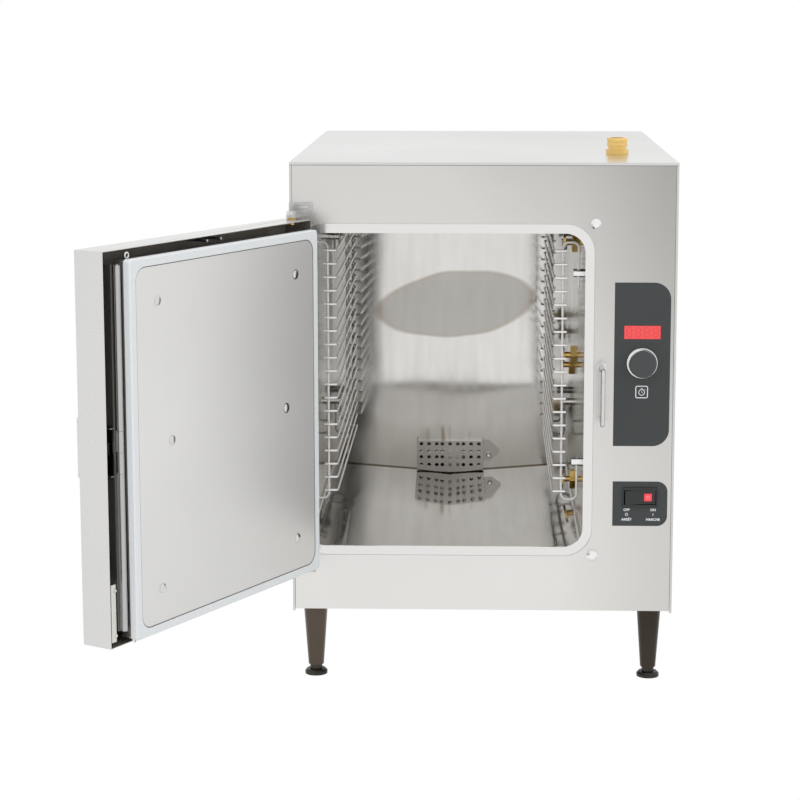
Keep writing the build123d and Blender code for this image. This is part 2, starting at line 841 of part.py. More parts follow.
# Steam generator: a tank on the base pan behind the cavity, with a flanged top.
GEN_X = DRAIN_X - DRAIN_FLANGE_R - GEN_TO_DRAIN - GEN_W / 2
GEN_Y = BACK - GEN_INSET_Y - GEN_D / 2
GEN_B = BASE + SHEET
GEN_TOP = GEN_B + GEN_H
OUTLET_X = GEN_X + OUTLET_ASIDE
ELEMENT_X = GEN_X + ELEMENT_ASIDE
PROBE_X = GEN_X + PROBE_ASIDE
PROBE_Y = GEN_Y - PROBE_AHEAD
with BuildPart() as steam_generator:
    with BuildSketch(level(GEN_B)):
        with Locations((GEN_X, GEN_Y)):
            RectangleRounded(GEN_W, GEN_D, GEN_R)
    extrude(amount=GEN_H)
    offset(amount=-GEN_SHELL, mode=Mode.SUBTRACT)
    with Locations((ELEMENT_X, GEN_Y, GEN_TOP)):
        Hole(ELEMENT_HOLE_R, depth=2 * GEN_SHELL)
    with Locations((OUTLET_X, GEN_Y, GEN_TOP)):
        Hole(STEAM_PIPE_R - GEN_SHELL, depth=2 * GEN_SHELL)
    with Locations((PROBE_X, PROBE_Y, GEN_TOP)):
        Hole(PROBE_R + SEAM, depth=2 * GEN_SHELL)
steam_generator.part.label = "steam_generator"
export_step(steam_generator.part, "parts/steam_generator.step")

# Heating elements: three hairpins hung from one flange.
with BuildPart() as heating_elements:
    with BuildSketch(level(GEN_TOP)):
        with Locations((ELEMENT_X, GEN_Y)):
            Circle(ELEMENT_FLANGE_R)
    extrude(amount=ELEMENT_FLANGE_T)
    for row_y in (GEN_Y - ELEMENT_PITCH, GEN_Y, GEN_Y + ELEMENT_PITCH):
        with BuildLine() as hairpin:
            Polyline(
                (ELEMENT_X - ELEMENT_HALF, row_y, GEN_TOP), (ELEMENT_X - ELEMENT_HALF, row_y, GEN_TOP - ELEMENT_L),
                (ELEMENT_X + ELEMENT_HALF, row_y, GEN_TOP - ELEMENT_L), (ELEMENT_X + ELEMENT_HALF, row_y, GEN_TOP),
            )
        with BuildSketch(Plane((ELEMENT_X - ELEMENT_HALF, row_y, GEN_TOP), z_dir=(0, 0, -1))):
            RegularPolygon(ELEMENT_R, WIRE_SIDES)
        sweep(path=hairpin.wires()[0], transition=Transition.RIGHT)
heating_elements.part.label = "heating_elements"
export_step(heating_elements.part, "parts/heating_elements.step")

# Level probe: a hexagon plug with a long rod.
with BuildPart() as level_probe:
    with BuildSketch(level(GEN_TOP)):
        with Locations((PROBE_X, PROBE_Y)):
            RegularPolygon(PROBE_HEX_R, 6)
    extrude(amount=PROBE_HEX_T)
    with BuildSketch(level(GEN_TOP + PROBE_UP)):
        with Locations((PROBE_X, PROBE_Y)):
            Circle(PROBE_R)
    extrude(amount=-PROBE_L)
level_probe.part.label = "level_probe"
export_step(level_probe.part, "parts/level_probe.step")

# Steam plenum: a flat box against the jets' shanks, fed by one pipe from the generator.
PLENUM_Y = FRONT + PLENUM_DEPTH
FEED_Z = GEN_TOP + FEED_RISE
with BuildPart() as steam_plenum:
    with BuildSketch(facing_right(PLENUM_X)):
        with Locations((PLENUM_Y, OPEN_B + (OPENING_H - PLENUM_DROP) / 2)):
            RectangleRounded(PLENUM_D, OPENING_H - PLENUM_DROP, PLENUM_CORNER_R)
    extrude(amount=PLENUM_T)
    with BuildLine() as feed:
        Polyline(
            (PLENUM_X + PLENUM_T / 2, PLENUM_Y + PLENUM_D / 2 - WELD, FEED_Z), (PLENUM_X + PLENUM_T / 2, GEN_Y, FEED_Z),
            (OUTLET_X, GEN_Y, FEED_Z), (OUTLET_X, GEN_Y, GEN_TOP),
        )
    with BuildSketch(facing_front(PLENUM_Y + PLENUM_D / 2 - WELD)):
        with Locations((PLENUM_X + PLENUM_T / 2, FEED_Z)):
            RegularPolygon(STEAM_PIPE_R, WIRE_SIDES)
    sweep(path=feed.wires()[0], transition=Transition.RIGHT)
steam_plenum.part.label = "steam_plenum"
export_step(steam_plenum.part, "parts/steam_plenum.step")

# Drain pipe: flanged to the cavity's back wall; a collar outside the rear panel ends in the hose's spigot.
DRAIN_SEAT = BACK + DRAIN_COLLAR_T
with BuildPart() as drain_pipe:
    for radius, start, length in (
        (DRAIN_FLANGE_R, CAV_BACK + CAVITY_SHEET, 2 * CAVITY_SHEET),
        (DRAIN_RUN_R, CAV_BACK + CAVITY_SHEET, BACK - CAV_BACK - CAVITY_SHEET),
        (DRAIN_FLANGE_R, BACK, DRAIN_COLLAR_T),
        (DRAIN_PIPE_R, DRAIN_SEAT, DRAIN_OUT),
    ):
        with BuildSketch(facing_front(start)):
            with Locations((DRAIN_X, DRAIN_Z)):
                Circle(radius)
        extrude(amount=-length)
    with BuildSketch(facing_front(CAV_BACK)):
        with Locations((DRAIN_X, DRAIN_Z)):
            Circle(DRAIN_R)
    extrude(amount=-BODY_D, mode=Mode.SUBTRACT)
drain_pipe.part.label = "drain_pipe"
export_step(drain_pipe.part, "parts/drain_pipe.step")

# Drain screen: a perforated box cover with bent edges and a tab, over the drain hole.
SCREEN_B = OPEN_B - SCREEN_DROP
SCREEN_T = OPEN_B + SCREEN_RISE
COLUMN_XS = [
    cluster * (2 * HOLE_PITCH + HOLE_GAP) + column * HOLE_PITCH for cluster in (-1, 0, 1) for column in (-1, 0, 1)
]
ROW_ZS = [side * (HOLE_GAP / 2 + row * HOLE_PITCH) for side in (-1, 1) for row in (0, 1)]
SCREEN_Z = (SCREEN_B + SCREEN_T) / 2 + 1.0
TAB_STUD_X = CAV_X + SCREEN_W / 2 + TAB_TOP_W
TAB_STUD_Z = OPEN_B + TAB_STUD_RISE
with BuildPart() as drain_screen:
    with BuildSketch(facing_front(CAV_BACK)):
        with BuildLine():
            Polyline(
                (CAV_X - SCREEN_W / 2, SCREEN_B), (CAV_X - SCREEN_W / 2, SCREEN_T),
                (CAV_X + SCREEN_W / 2, SCREEN_T), (CAV_X + SCREEN_W / 2, SCREEN_B),
            )
            ThreePointArc(
                (CAV_X + SCREEN_W / 2, SCREEN_B), (CAV_X, SCREEN_B - SCREEN_SAG), (CAV_X - SCREEN_W / 2, SCREEN_B),
            )
        make_face()
    extrude(amount=SCREEN_D)
    fillet(edges().filter_by(Axis.Y).group_by(Axis.Z)[-1], SCREEN_CORNER_R)
    back_and_foot = faces().filter_by(lambda f: f.center().Y > CAV_BACK - 0.1) + [
        faces().sort_by(Axis.Z)[0]
    ]
    offset(amount=-SCREEN_SHEET, openings=back_and_foot)
    with BuildSketch(facing_front(CAV_BACK - SCREEN_D)):
        with Locations(*[(CAV_X + x, SCREEN_Z + z) for x in COLUMN_XS for z in ROW_ZS]):
            RegularPolygon(HOLE_R, WIRE_SIDES)
    extrude(amount=-2 * SCREEN_SHEET, mode=Mode.SUBTRACT)
    with BuildSketch(facing_front(CAV_BACK)):
        Polygon(
            (CAV_X + SCREEN_W / 2 - SCREEN_SHEET, OPEN_B + TAB_FOOT),
            (CAV_X + SCREEN_W / 2 + TAB_FOOT_W, OPEN_B + TAB_FOOT),
            (CAV_X + SCREEN_W / 2 + TAB_W, OPEN_B + TAB_ELBOW), (CAV_X + SCREEN_W / 2 + TAB_W, OPEN_B + TAB_SHOULDER),
            (CAV_X + SCREEN_W / 2 + TAB_TOP_W, SCREEN_T), (CAV_X + SCREEN_W / 2 - SCREEN_SHEET, SCREEN_T), align=None,
        )
        with Locations((TAB_STUD_X, TAB_STUD_Z)):
            Circle(TAB_STUD_R + SEAM, mode=Mode.SUBTRACT)
    extrude(amount=SCREEN_SHEET)
drain_screen.part.label = "drain_screen"
export_step(drain_screen.part, "parts/drain_screen.step")

# The screen's stud and acorn nut.
with BuildPart() as drain_screen_stud:
    with BuildSketch(facing_front(CAV_BACK)):
        with Locations((TAB_STUD_X, TAB_STUD_Z)):
            Circle(TAB_STUD_R)
    extrude(amount=TAB_NUT_T)
    with BuildSketch(facing_front(CAV_BACK - SCREEN_SHEET)):
        with Locations((TAB_STUD_X, TAB_STUD_Z)):
            Circle(TAB_NUT_R)
    extrude(amount=TAB_NUT_T)
    chamfer(edges().filter_by(GeomType.CIRCLE).sort_by(Axis.Y)[0], TAB_NUT_EDGE)
drain_screen_stud.part.label = "drain_screen_stud"
export_step(drain_screen_stud.part, "parts/drain_screen_stud.step")

# ---- Front fittings ----
# Strike: a bent rod between two bosses, which the latch hooks round.
with BuildPart() as door_strike:
    with BuildSketch(facing_front(FRONT)):
        with Locations((STRIKE_X, STRIKE_Z), (STRIKE_X, STRIKE_Z + STRIKE_SPAN)):
            Circle(STRIKE_BOSS_R)
    extrude(amount=STRIKE_BOSS_L)
    with BuildLine() as bar:
        FilletPolyline(
            (STRIKE_X, FRONT - STRIKE_BOSS_L / 2, STRIKE_Z), (STRIKE_X, STRIKE_Y, STRIKE_Z),
            (STRIKE_X, STRIKE_Y, STRIKE_Z + STRIKE_SPAN), (STRIKE_X, FRONT - STRIKE_BOSS_L / 2, STRIKE_Z + STRIKE_SPAN),
            radius=2 * STRIKE_ROD_R,
        )
    with BuildSketch(facing_front(FRONT - STRIKE_BOSS_L / 2)):
        with Locations((STRIKE_X, STRIKE_Z)):
            Circle(STRIKE_ROD_R)
    sweep(path=bar.wires()[0])
door_strike.part.label = "door_strike"
export_step(door_strike.part, "parts/door_strike.step")

# Dome studs: two round-headed fixings beside the opening.
DOME_X = OPEN_R + DOME_ASIDE
with BuildPart() as dome_studs:
    with BuildSketch(facing_front(FRONT)):
        with Locations((DOME_X, OPEN_B - DOME_BELOW), (DOME_X, OPEN_T + DOME_ABOVE)):
            Circle(DOME_R)
    extrude(amount=DOME_H)
    chamfer(edges().filter_by(GeomType.CIRCLE).group_by(Axis.Y)[0], DOME_EDGE)
dome_studs.part.label = "dome_studs"
export_step(dome_studs.part, "parts/dome_studs.step")

# Hinge brackets: bent plates, one above the door and one below it; the pins stand in their rounded ends.
UPPER_PLATE_Z = DOOR_TOP + BUSH_FLANGE_T + RUN_GAP
LOWER_PLATE_Z = DOOR_B - BUSH_FLANGE_T - RUN_GAP
BRACKET_R = LEFT + WRAP + BRACKET_W
with BuildPart() as upper_hinge_bracket:
    with BuildSketch(level(UPPER_PLATE_Z)):
        with Locations((PIVOT_X, PIVOT_Y)):
            Circle(BRACKET_END_R)
        Polygon(
            (PIVOT_X - BRACKET_END_R, PIVOT_Y), (PIVOT_X + BRACKET_END_R, PIVOT_Y), (BRACKET_R, FRONT - RIM_GAP),
            (BRACKET_R, FRONT), (PIVOT_X - BRACKET_END_R, FRONT), align=None,
        )
        with Locations((PIVOT_X, PIVOT_Y)):
            Circle(PIN_R + PIN_PLAY, mode=Mode.SUBTRACT)
    extrude(amount=BRACKET_T)
    with BuildSketch(facing_front(FRONT)):
        with Locations(((PIVOT_X - BRACKET_END_R + BRACKET_R) / 2, UPPER_PLATE_Z + BRACKET_LEG / 2)):
            Rectangle(BRACKET_R - PIVOT_X + BRACKET_END_R, BRACKET_LEG)
        with Locations(((PIVOT_X + BRACKET_R) / 2, UPPER_PLATE_Z + BRACKET_SLOT_RISE)):
            SlotOverall(BRACKET_W / 2, BRACKET_T, mode=Mode.SUBTRACT)
    extrude(amount=BRACKET_T)
upper_hinge_bracket.part.label = "upper_hinge_bracket"
export_step(upper_hinge_bracket.part, "parts/upper_hinge_bracket.step")

with BuildPart() as lower_hinge_bracket:
    add(upper_hinge_bracket.part)
    mirror(about=level((UPPER_PLATE_Z + LOWER_PLATE_Z) / 2), mode=Mode.REPLACE)
lower_hinge_bracket.part.label = "lower_hinge_bracket"
export_step(lower_hinge_bracket.part, "parts/lower_hinge_bracket.step")

# Hinge pins: hexagon-headed, down through the upper bracket and up through the lower one.
PIN_L = BRACKET_T + RUN_GAP + BUSH_L
with BuildPart() as hinge_pins:
    for seat, outward in ((UPPER_PLATE_Z + BRACKET_T, 1), (LOWER_PLATE_Z - BRACKET_T, -1)):
        with BuildSketch(level(seat)):
            with Locations((PIVOT_X, PIVOT_Y)):
                RegularPolygon(PIN_HEAD_R, 6)
        extrude(amount=outward * PIN_HEAD_T)
        with BuildSketch(level(seat)):
            with Locations((PIVOT_X, PIVOT_Y)):
                Circle(PIN_R)
        extrude(amount=-outward * PIN_L)
hinge_pins.part.label = "hinge_pins"
export_step(hinge_pins.part, "parts/hinge_pins.step")

# ---- Controls ----
# Overlays: thin printed panels on the front sheet, square on the left and rounded on the right.
with BuildPart() as control_overlay:
    with BuildSketch(facing_front(FRONT)):
        with Locations((OVERLAY_X, OVERLAY_TOP - OVERLAY_H / 2)):
            Rectangle(OVERLAY_W, OVERLAY_H)
        fillet(vertices().group_by(Axis.X)[-1], OVERLAY_R)
        with Locations((OVERLAY_X, DISPLAY_Z)):
            Rectangle(DISPLAY_W, DISPLAY_H, mode=Mode.SUBTRACT)
        with Locations((OVERLAY_X, KNOB_Z)):
            Circle(SHAFT_R + SHAFT_CLEAR, mode=Mode.SUBTRACT)
    extrude(amount=OVERLAY_T)
control_overlay.part.label = "control_overlay"
export_step(control_overlay.part, "parts/control_overlay.step")

with BuildPart() as switch_overlay:
    with BuildSketch(facing_front(FRONT)):
        with Locations((OVERLAY_X, SWITCH_PANEL_Z)):
            Rectangle(SWITCH_W, SWITCH_H)
        fillet(vertices().group_by(Axis.X)[-1], SWITCH_R)
        with Locations((OVERLAY_X, SWITCH_Z)):
            Rectangle(BEZEL_W - 2 * BEZEL_LAP, BEZEL_H - 2 * BEZEL_LAP, mode=Mode.SUBTRACT)
    extrude(amount=OVERLAY_T)
switch_overlay.part.label = "switch_overlay"
export_step(switch_overlay.part, "parts/switch_overlay.step")

# Display: a tinted block that fills its window and stands on the board.
BOARD_Y = FRONT + SHEET + BOARD_BEHIND
with BuildPart() as display_window:
    with BuildSketch(facing_front(BOARD_Y)):
        with Locations((OVERLAY_X, DISPLAY_Z)):
            Rectangle(DISPLAY_W - 2 * SEAM, DISPLAY_H - 2 * SEAM)
    extrude(amount=BOARD_Y - FRONT)
display_window.part.label = "display_window"
export_step(display_window.part, "parts/display_window.step")

# Encoder: a small housing on the board and the shaft that carries the knob.
with BuildPart() as encoder:
    with BuildSketch(facing_front(BOARD_Y)):
        with Locations((OVERLAY_X, KNOB_Z)):
            Rectangle(ENCODER_W, ENCODER_W)
    extrude(amount=BOARD_Y - FRONT - SHEET)
    with BuildSketch(facing_front(BOARD_Y)):
        with Locations((OVERLAY_X, KNOB_Z)):
            Circle(SHAFT_R)
    extrude(amount=BOARD_Y - FRONT + SHAFT_OUT)
encoder.part.label = "encoder"
export_step(encoder.part, "parts/encoder.step")

# Knob: a tapered grip on a wider skirt, bored for the shaft.
KNOB_FOOT = FRONT - OVERLAY_T - RUN_GAP
with BuildPart() as knob:
    with BuildSketch(facing_front(KNOB_FOOT)):
        with Locations((OVERLAY_X, KNOB_Z)):
            Circle(KNOB_R)
    extrude(amount=KNOB_SKIRT_T)
    with BuildSketch(facing_front(KNOB_FOOT - KNOB_SKIRT_T)):
        with Locations((OVERLAY_X, KNOB_Z)):
            Circle(KNOB_GRIP_R)
    extrude(amount=KNOB_L - KNOB_SKIRT_T - KNOB_EDGE, taper=KNOB_TAPER)
    with BuildSketch(facing_front(KNOB_FOOT - KNOB_L + KNOB_EDGE)):
        with Locations((OVERLAY_X, KNOB_Z)):
            Circle(KNOB_FACE_R)
    extrude(amount=KNOB_EDGE, taper=45)
    with BuildSketch(facing_front(KNOB_FOOT)):
        with Locations((OVERLAY_X, KNOB_Z)):
            Circle(SHAFT_R + PIN_PLAY)
    extrude(amount=SHAFT_OUT - OVERLAY_T, mode=Mode.SUBTRACT)
knob.part.label = "knob"
export_step(knob.part, "parts/knob.step")

# Control board: the board on four posts behind the front panel, with a row of relays.
BOARD_Z = OVERLAY_TOP - OVERLAY_H / 2
with BuildPart() as control_board:
    with BuildSketch(facing_front(BOARD_Y)):
        with Locations((OVERLAY_X, BOARD_Z)):
            Rectangle(BOARD_W, BOARD_H)
    extrude(amount=-BOARD_T)
    with BuildSketch(facing_front(BOARD_Y)):
        with Locations((OVERLAY_X, BOARD_Z)):
            with GridLocations(BOARD_W - 2 * POST_INSET, BOARD_H - 2 * POST_INSET, 2, 2):
                RegularPolygon(POST_R, WIRE_SIDES)
    extrude(amount=BOARD_Y - FRONT - SHEET)
    with BuildSketch(facing_front(BOARD_Y + BOARD_T)):
        with Locations((OVERLAY_X, BOARD_Z - BOARD_H / 3)):
            with GridLocations(RELAY_PITCH, RELAY_H, 3, 1):
                Rectangle(RELAY_W, RELAY_H)
        with Locations((OVERLAY_X, BOARD_Z + BOARD_H / 5)):
            Rectangle(CHIP_W, CHIP_W)
    extrude(amount=-RELAY_T)
control_board.part.label = "control_board"
export_step(control_board.part, "parts/control_board.step")

# Switch bezel: a rim on the overlay, a hollow body behind it and the pin the rocker turns on.
ROCKER_Y = FRONT + ROCKER_PIN_IN
ROCKER_HOLLOW_W = BEZEL_W - 2 * BEZEL_LAP - 2 * SEAM - 2 * BEZEL_WALL
with BuildPart() as switch_bezel:
    with BuildSketch(facing_front(FRONT - OVERLAY_T)):
        with Locations((OVERLAY_X, SWITCH_Z)):
            RectangleRounded(BEZEL_W, BEZEL_H, BEZEL_CORNER_R)
    extrude(amount=BEZEL_OUT)
    with BuildSketch(facing_front(FRONT - OVERLAY_T)):
        with Locations((OVERLAY_X, SWITCH_Z)):
            Rectangle(BEZEL_W - 2 * BEZEL_LAP - 2 * SEAM, BEZEL_H - 2 * BEZEL_LAP - 2 * SEAM)
    extrude(amount=-BEZEL_BODY_D)
    with BuildSketch(facing_front(FRONT - OVERLAY_T - BEZEL_OUT)):
        with Locations((OVERLAY_X, SWITCH_Z)):
            Rectangle(ROCKER_HOLLOW_W, ROCKER_H + 2 * RUN_GAP)
    extrude(amount=-(BEZEL_OUT + BEZEL_BODY_D / 2), mode=Mode.SUBTRACT)
    with BuildSketch(level(SWITCH_Z)):
        with Locations((OVERLAY_X, ROCKER_Y)):
            Circle(ROCKER_PIN_R)
    extrude(amount=ROCKER_H / 2 + 1, both=True)
switch_bezel.part.label = "switch_bezel"
export_step(switch_bezel.part, "parts/switch_bezel.step")

# Rocker and its lamp: drawn level, then pressed in on the right.
ROCKER_FACE = ROCKER_Y - ROCKER_RISE
LAMP_X = OVERLAY_X + LAMP_W
with BuildPart() as rocker:
    with BuildSketch(level(SWITCH_Z)):
        Polygon(
            (OVERLAY_X - ROCKER_W / 2, ROCKER_FACE), (OVERLAY_X, ROCKER_FACE + ROCKER_DISH),
            (OVERLAY_X + ROCKER_W / 2, ROCKER_FACE), (OVERLAY_X + ROCKER_W / 2, ROCKER_Y),
            (OVERLAY_X + ROCKER_KEEL_W / 2, ROCKER_Y + ROCKER_KEEL),
            (OVERLAY_X - ROCKER_KEEL_W / 2, ROCKER_Y + ROCKER_KEEL), (OVERLAY_X - ROCKER_W / 2, ROCKER_Y),
            align=None,
        )
        with Locations((OVERLAY_X, ROCKER_Y)):
            Circle(ROCKER_PIN_R + PIN_PLAY, mode=Mode.SUBTRACT)
    extrude(amount=ROCKER_H / 2, both=True)
rocker_pin = Location((OVERLAY_X, ROCKER_Y, 0))
pressed = rocker_pin * Location((0, 0, 0), (0, 0, ROCKER_TILT)) * rocker_pin.inverse()
rocker.part = rocker.part.moved(pressed)
rocker.part.label = "rocker"
export_step(rocker.part, "parts/rocker.step")

LAMP_SLOPE = 2 * ROCKER_DISH / ROCKER_W
LAMP_Y = ROCKER_FACE + ROCKER_DISH - LAMP_SLOPE * (LAMP_X - OVERLAY_X)
with BuildPart() as rocker_lamp:
    with BuildSketch(Plane((LAMP_X, LAMP_Y, SWITCH_Z), x_dir=(1, -LAMP_SLOPE, 0), z_dir=(-LAMP_SLOPE, -1, 0))):
        Rectangle(LAMP_W, LAMP_W)
    extrude(amount=LAMP_T)
rocker_lamp.part = rocker_lamp.part.moved(pressed)
rocker_lamp.part.label = "rocker_lamp"
export_step(rocker_lamp.part, "parts/rocker_lamp.step")

# ---- Machine bay and connections ----
BAY_FLOOR = BASE + SHEET
BAY_X = (PLENUM_X + RIGHT) / 2

# Transformer: an iron core between two coil faces.
with BuildPart() as transformer:
    for foot, width, depth, height in (
        (BAY_FLOOR, CORE_W, CORE_D, CORE_H), (BAY_FLOOR + (CORE_H - COIL_H) / 2, COIL_W, COIL_D, COIL_H),
    ):
        with BuildSketch(level(foot)):
            with Locations((BAY_X, FRONT + TRANSFORMER_DEPTH)):
                Rectangle(width, depth)
        extrude(amount=height)
transformer.part.label = "transformer"
export_step(transformer.part, "parts/transformer.step")

# Contactor: a stepped block with two rows of terminals.
CONTACTOR_TOP = BAY_FLOOR + CONTACTOR_H
with BuildPart() as contactor:
    with BuildSketch(level(BAY_FLOOR)):
        with Locations((BAY_X, FRONT + CONTACTOR_DEPTH)):
            Rectangle(CONTACTOR_W, CONTACTOR_D)
    extrude(amount=CONTACTOR_H)
    with BuildSketch(level(CONTACTOR_TOP)):
        with Locations((BAY_X, FRONT + CONTACTOR_DEPTH)):
            Rectangle(CONTACTOR_W, CONTACTOR_STEP_D)
    extrude(amount=CONTACTOR_STEP_H)
    with BuildSketch(level(CONTACTOR_TOP)):
        with Locations((BAY_X, FRONT + CONTACTOR_DEPTH)):
            with GridLocations(TERMINAL_PITCH, TERMINAL_SPREAD, 3, 2):
                RegularPolygon(TERMINAL_R, 6)
    extrude(amount=TERMINAL_T)
contactor.part.label = "contactor"
export_step(contactor.part, "parts/contactor.step")

# Terminal block: where the supply cable ends, a bar with five ways.
with BuildPart() as terminal_block:
    with BuildSketch(level(BAY_FLOOR)):
        with Locations((CABLE_X, BACK - BLOCK_AHEAD)):
            Rectangle(BLOCK_W, BLOCK_L)
    extrude(amount=BLOCK_H)
    with BuildSketch(level(BAY_FLOOR + BLOCK_H)):
        with Locations((CABLE_X, BACK - BLOCK_AHEAD)):
            with GridLocations(BLOCK_W, WAY_PITCH, 1, 5):
                Rectangle(WAY_W, WAY_L)
    extrude(amount=WAY_H)
terminal_block.part.label = "terminal_block"
export_step(terminal_block.part, "parts/terminal_block.step")

# Cable gland: two hexagons clamp the rear panel, with the cable's way left open.
with BuildPart() as cable_gland:
    for seat, thickness in ((BACK, -GLAND_HEX_T), (BACK - SHEET, GLAND_HEX_T)):
        with BuildSketch(facing_front(seat)):
            with Locations((CABLE_X, CABLE_Z)):
                RegularPolygon(GLAND_HEX_R, 6)
        extrude(amount=thickness)
    with BuildSketch(facing_front(BACK - SHEET - 2 * GLAND_HEX_T)):
        with Locations((CABLE_X, CABLE_Z)):
            Circle(CABLE_R - SEAM)
    extrude(amount=-(SHEET + 5 * GLAND_HEX_T))
    with BuildSketch(facing_front(FRONT)):
        with Locations((CABLE_X, CABLE_Z)):
            Circle(GLAND_BORE_R)
    extrude(amount=-2 * BODY_D, mode=Mode.SUBTRACT)
cable_gland.part.label = "cable_gland"
export_step(cable_gland.part, "parts/cable_gland.step")

# Inlet valve: a neck through the rear panel, a collar and the hose's tail outside, a body and an upright coil inside.
INLET_SEAT = BACK + INLET_COLLAR_T
VALVE_BACK = BACK - SHEET - INLET_COLLAR_T
with BuildPart() as inlet_valve:
    for radius, start, length in (
        (INLET_COLLAR_R, VALVE_BACK, INLET_COLLAR_T), (INLET_NECK_R, BACK - SHEET, SHEET),
        (INLET_COLLAR_R, BACK, INLET_COLLAR_T), (INLET_R, INLET_SEAT, INLET_OUT),
    ):
        with BuildSketch(facing_front(start)):
            with Locations((INLET_X, INLET_Z)):
                Circle(radius)
        extrude(amount=-length)
    with BuildSketch(facing_front(VALVE_BACK)):
        with Locations((INLET_X, INLET_Z)):
            Rectangle(VALVE_W, VALVE_W)
    extrude(amount=VALVE_L)
    with BuildSketch(level(INLET_Z)):
        with Locations((INLET_X, VALVE_BACK - VALVE_L / 2)):
            Circle(VALVE_COIL_R)
    extrude(amount=VALVE_COIL_H)
    with BuildSketch(facing_front(INLET_SEAT + INLET_OUT)):
        with Locations((INLET_X, INLET_Z)):
            Circle(INLET_R - INLET_WALL)
    extrude(amount=INLET_OUT, mode=Mode.SUBTRACT)
inlet_valve.part.label = "inlet_valve"
export_step(inlet_valve.part, "parts/inlet_valve.step")

# Vent fitting: turned brass, a collar on the top panel, a waist and a barrel with one groove.
with BuildPart() as vent_fitting:
    with BuildSketch(Plane.XZ):
        Polygon(
            (VENT_BORE_R, -VENT_DROP), (VENT_BORE_R + VENT_WALL, -VENT_DROP), (VENT_BORE_R + VENT_WALL, 0),
            (VENT_COLLAR_R, 0), (VENT_COLLAR_R, VENT_COLLAR_T), (VENT_WAIST_R, VENT_COLLAR_T),
            (VENT_WAIST_R, VENT_BARREL_UP), (VENT_BARREL_R, VENT_BARREL_UP), (VENT_BARREL_R, VENT_GROOVE_UP),
            (VENT_BARREL_R - VENT_GROOVE, VENT_GROOVE_UP), (VENT_BARREL_R - VENT_GROOVE, VENT_GROOVE_UP + VENT_GROOVE_H),
            (VENT_BARREL_R, VENT_GROOVE_UP + VENT_GROOVE_H), (VENT_BARREL_R, VENT_H), (VENT_BORE_R, VENT_H),
            align=None,
        )
    revolve(axis=Axis.Z)
vent_fitting.part = vent_fitting.part.moved(Location((VENT_X, VENT_Y, TOP)))
vent_fitting.part.label = "vent_fitting"
export_step(vent_fitting.part, "parts/vent_fitting.step")

# Legs: four tapered tubes, each bolted up through the base pan and bored for its foot's stem.
LEG_TAPER = degrees(atan2(LEG_TOP_R - LEG_END_R, BASE - LEG_CLEAR))
with BuildPart() as legs:
    for x in LEG_XS:
        for y in LEG_YS:
            with BuildSketch(level(LEG_CLEAR)):
                with Locations((x, y)):
                    Circle(LEG_END_R)
            extrude(amount=BASE - LEG_CLEAR, taper=-LEG_TAPER)
            with BuildSketch(level(BASE)):
                with Locations((x, y)):
                    Circle(LEG_BOLT_R)
            extrude(amount=LEG_BOLT_L)
            with BuildSketch(level(BASE + SHEET)):
                with Locations((x, y)):
                    RegularPolygon(LEG_NUT_R, 6)
            extrude(amount=LEG_NUT_T)
            with BuildSketch(level(LEG_CLEAR)):
                with Locations((x, y)):
                    Circle(FOOT_STEM_R + PIN_PLAY)
            extrude(amount=FOOT_STEM_L + RUN_GAP, mode=Mode.SUBTRACT)
legs.part.label = "legs"
export_step(legs.part, "parts/legs.step")

# Feet: each turns out of its leg to level the oven.
with BuildPart() as foot_front_left:
    with BuildSketch(Plane.XZ):
        Polygon(
            (0, 0), (FOOT_R, 0), (FOOT_R, FOOT_T - FOOT_ROUND), (FOOT_R - FOOT_ROUND, FOOT_T), (FOOT_NECK_R, FOOT_T),
            (FOOT_NECK_R, LEG_CLEAR - RUN_GAP), (FOOT_STEM_R, LEG_CLEAR - RUN_GAP),
            (FOOT_STEM_R, LEG_CLEAR + FOOT_STEM_L), (0, LEG_CLEAR + FOOT_STEM_L), align=None,
        )
    revolve(axis=Axis.Z)
foot_front_left.part.label = "foot_front_left"
export_step(foot_front_left.part, "parts/foot_front_left.step")

with BuildPart() as foot_front_right:
    add(foot_front_left.part.moved(Location((LEG_XS[1], LEG_YS[0], 0))))
foot_front_right.part.label = "foot_front_right"
export_step(foot_front_right.part, "parts/foot_front_right.step")

with BuildPart() as foot_rear_left:
    add(foot_front_left.part.moved(Location((LEG_XS[0], LEG_YS[1], 0))))
foot_rear_left.part.label = "foot_rear_left"
export_step(foot_rear_left.part, "parts/foot_rear_left.step")

with BuildPart() as foot_rear_right:
    add(foot_front_left.part.moved(Location((LEG_XS[1], LEG_YS[1], 0))))
foot_rear_right.part.label = "foot_rear_right"
export_step(foot_rear_right.part, "parts/foot_rear_right.step")

# ---- Door: every piece is drawn closed, then swung open about the hinge pins ----
# Pan: a folded tray, open towards the oven, with a bushing hole at each end of the hinge side.
with BuildPart() as door_pan:
    with BuildSketch(facing_front(RIM)):
        with Locations(((DOOR_L + DOOR_R) / 2, DOOR_Z)):
            Rectangle(DOOR_W, DOOR_H)
    extrude(amount=DOOR_T)
    fillet(faces().sort_by(Axis.Y)[0].edges(), DOOR_BEND_R)
    offset(amount=-SHEET, openings=faces().sort_by(Axis.Y)[-1])
    for wall in (DOOR_B, DOOR_TOP):
        with BuildSketch(level(wall)):
            with Locations((PIVOT_X, PIVOT_Y)):
                Circle(BUSH_R)
        extrude(amount=2 * SHEET, both=True, mode=Mode.SUBTRACT)
door_pan.part = swing_open(door_pan.part)
door_pan.part.label = "door_pan"
export_step(door_pan.part, "parts/door_pan.step")

